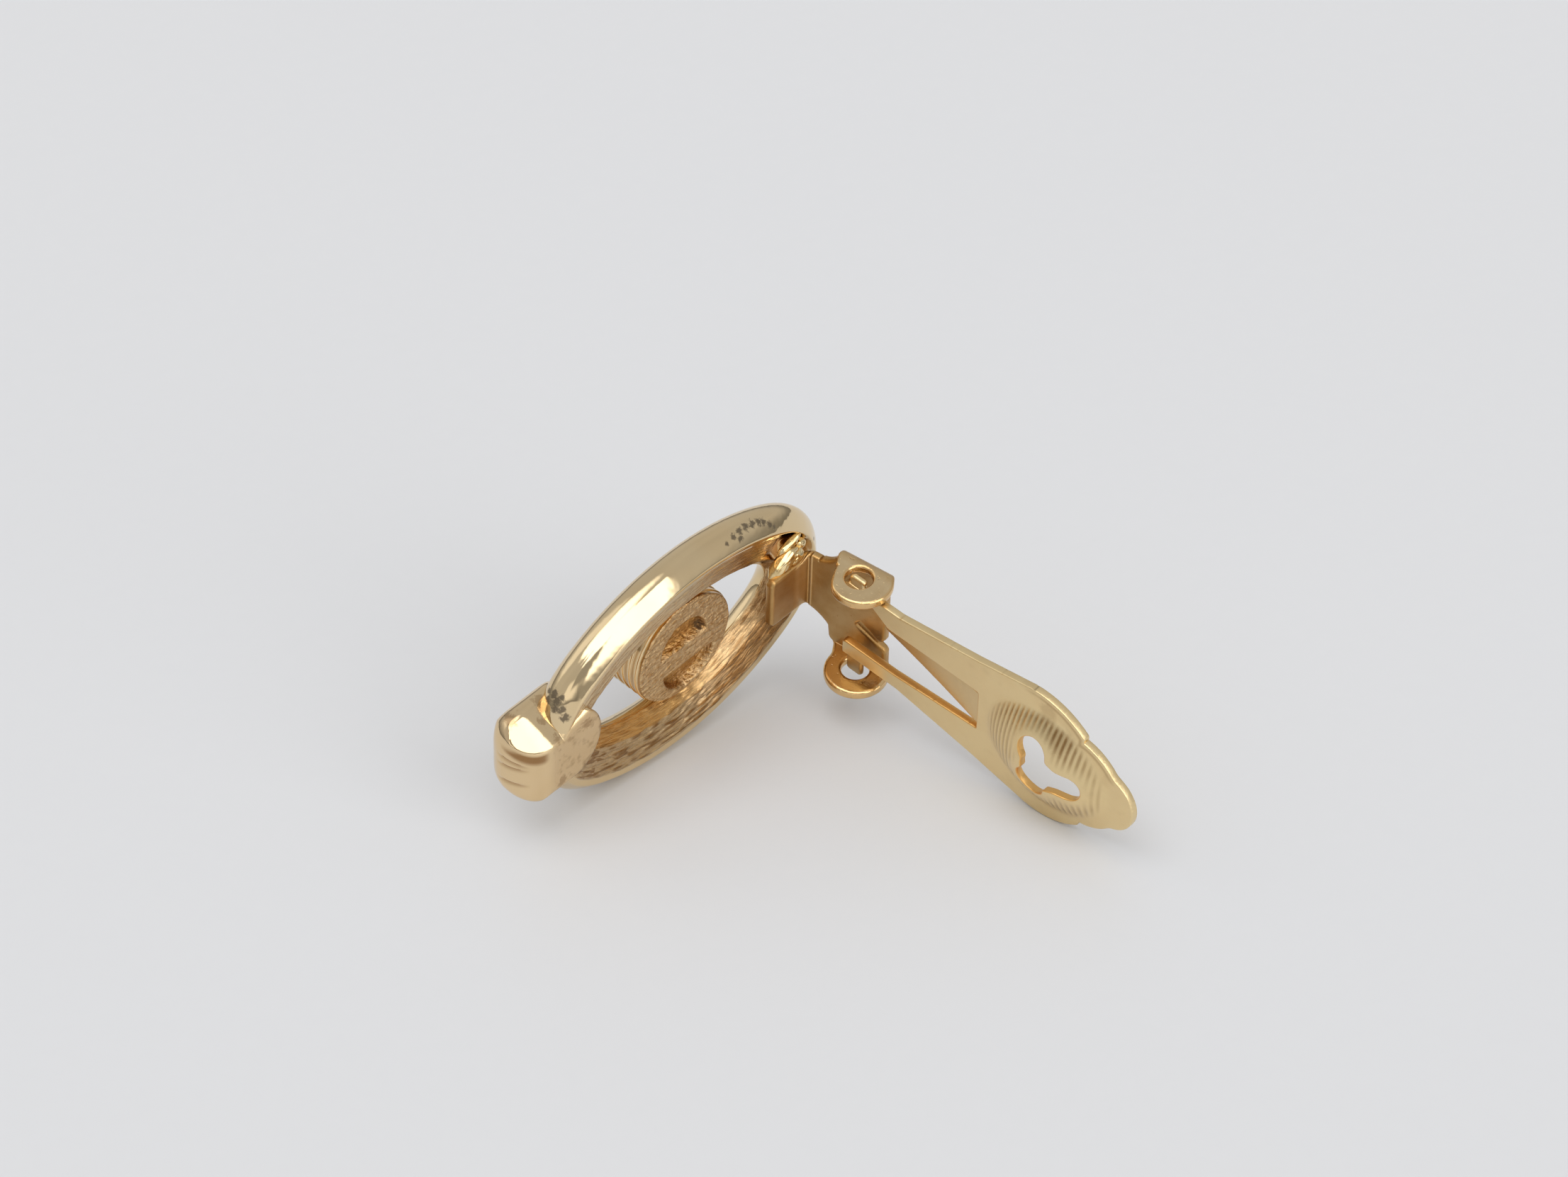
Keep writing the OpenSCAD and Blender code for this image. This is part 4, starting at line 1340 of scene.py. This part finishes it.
# %% The room's walls
world = bpy.data.worlds.new("room")
bpy.context.scene.world = world
world.use_nodes = True
world.node_tree.nodes.clear()
bench = Bench(world.node_tree)
direction = bench.node("ShaderNodeTexCoord", {}, {}, "Generated")
dx, dy, dz = bench.parts(direction)
DEGREES = float(np.degrees(1))
azimuth = dy.maths("ARCTAN2", dy, dx) * DEGREES
elevation = dz.maths("ARCSINE", dz) * DEGREES


def patch(left, right, low, high, soft):
    """1 inside a patch of the room's walls, given in degrees, with soft edges."""
    sides = azimuth.ramp(left - soft, left + soft) * azimuth.ramp(right + soft, right - soft)
    levels = elevation.ramp(low - soft, low + soft) * elevation.ramp(high + soft, high - soft)
    return sides * levels


def toward_lamp(az, el):
    """Cosine of the angle between a direction and a lamp's, given in degrees."""
    a, e = np.radians([az, el])
    where = (np.cos(e) * np.cos(a), np.cos(e) * np.sin(a), np.sin(e))
    return bench.node("ShaderNodeVectorMath", {"operation": "DOT_PRODUCT"},
                      {0: direction, 1: where}, "Value")


# Grey walls, faintly uneven, that darken toward the floor
walls = 0.48 + bench.grain(direction, 1.2, 1.0) * 0.16
glow = walls * (0.4 + 0.6 * elevation.ramp(0.0, 16.0))
ceiling = toward_lamp(15, 63).ramp(0.78, 0.94) * elevation.ramp(50.0, 55.0)

# %% Windows, ceiling and viewer
BRIGHT, SHADED = 2.5, 0.38
# left, right, low, high and softness in degrees, and how bright the patch is
WINDOWS = [(68, 108, 1, 50, 3, BRIGHT), (44, 82, 34, 56, 3, BRIGHT), (26, 62, 46, 58, 3, BRIGHT),
           (27, 57, 4, 26, 4, 1.05), (-88, -56, 18, 62, 6, 1.0)]
VIEWER_HEAD, VIEWER_BODY = (44, 70, 14, 33, 3.0), (62, 90, -30, 10, 4.0)
lights = [(ceiling, BRIGHT)] + [(patch(*span), strength) for *span, strength in WINDOWS]
lights.append((patch(*VIEWER_HEAD).most(patch(*VIEWER_BODY)), SHADED))
for share, strength in lights:
    glow = glow * (1 - share) + share * strength
light = bench.node("ShaderNodeBackground", {}, {
    "Color": (1.0, 0.995, 0.99, 1.0), "Strength": glow})
bench.show(light, "ShaderNodeOutputWorld")
print("room:", len(lights), "patches")

# %% [markdown]
# ## The camera
# The photograph was taken from above with a long lens, which keeps near and far parts
# the same size. Its direction, roll and distance were fitted to the outlines of the ring
# and the clip. The lens is worked out from the photograph's width and its focal length,
# both in pixels.

# %% Camera
FOCAL_PX, PHOTO_WIDTH, SENSOR = 9900, 2212, 36.0
VIEW_AZ, VIEW_EL, VIEW_ROLL = 43.9105, 36.1909, -1.5901
LOOK_AT, VIEW_DIST = Vector((-0.0316287, -0.0320652, -0.0183509)), 0.3721995
az, el, roll = np.radians([VIEW_AZ, VIEW_EL, VIEW_ROLL])
toward = -Vector((np.cos(el) * np.cos(az), np.cos(el) * np.sin(az), np.sin(el)))
right = toward.cross(Vector((0, 0, 1))).normalized()
up = right.cross(toward)
camera_right = right * np.cos(roll) + up * np.sin(roll)
camera_up = up * np.cos(roll) - right * np.sin(roll)
lens = bpy.data.cameras.new("camera")
camera = bpy.data.objects.new("camera", lens)
bpy.context.scene.collection.objects.link(camera)
lens.sensor_width = SENSOR
lens.lens = FOCAL_PX / PHOTO_WIDTH * SENSOR
lens.clip_start, lens.clip_end = 0.01, 20.0
turn = Matrix((camera_right, camera_up, -toward)).transposed()
camera.matrix_world = Matrix.Translation(LOOK_AT - toward * VIEW_DIST) @ turn.to_4x4()
bpy.context.scene.camera = camera
bpy.context.scene.view_settings.view_transform = "Standard"
print("camera at", tuple(round(c, 4) for c in camera.location))
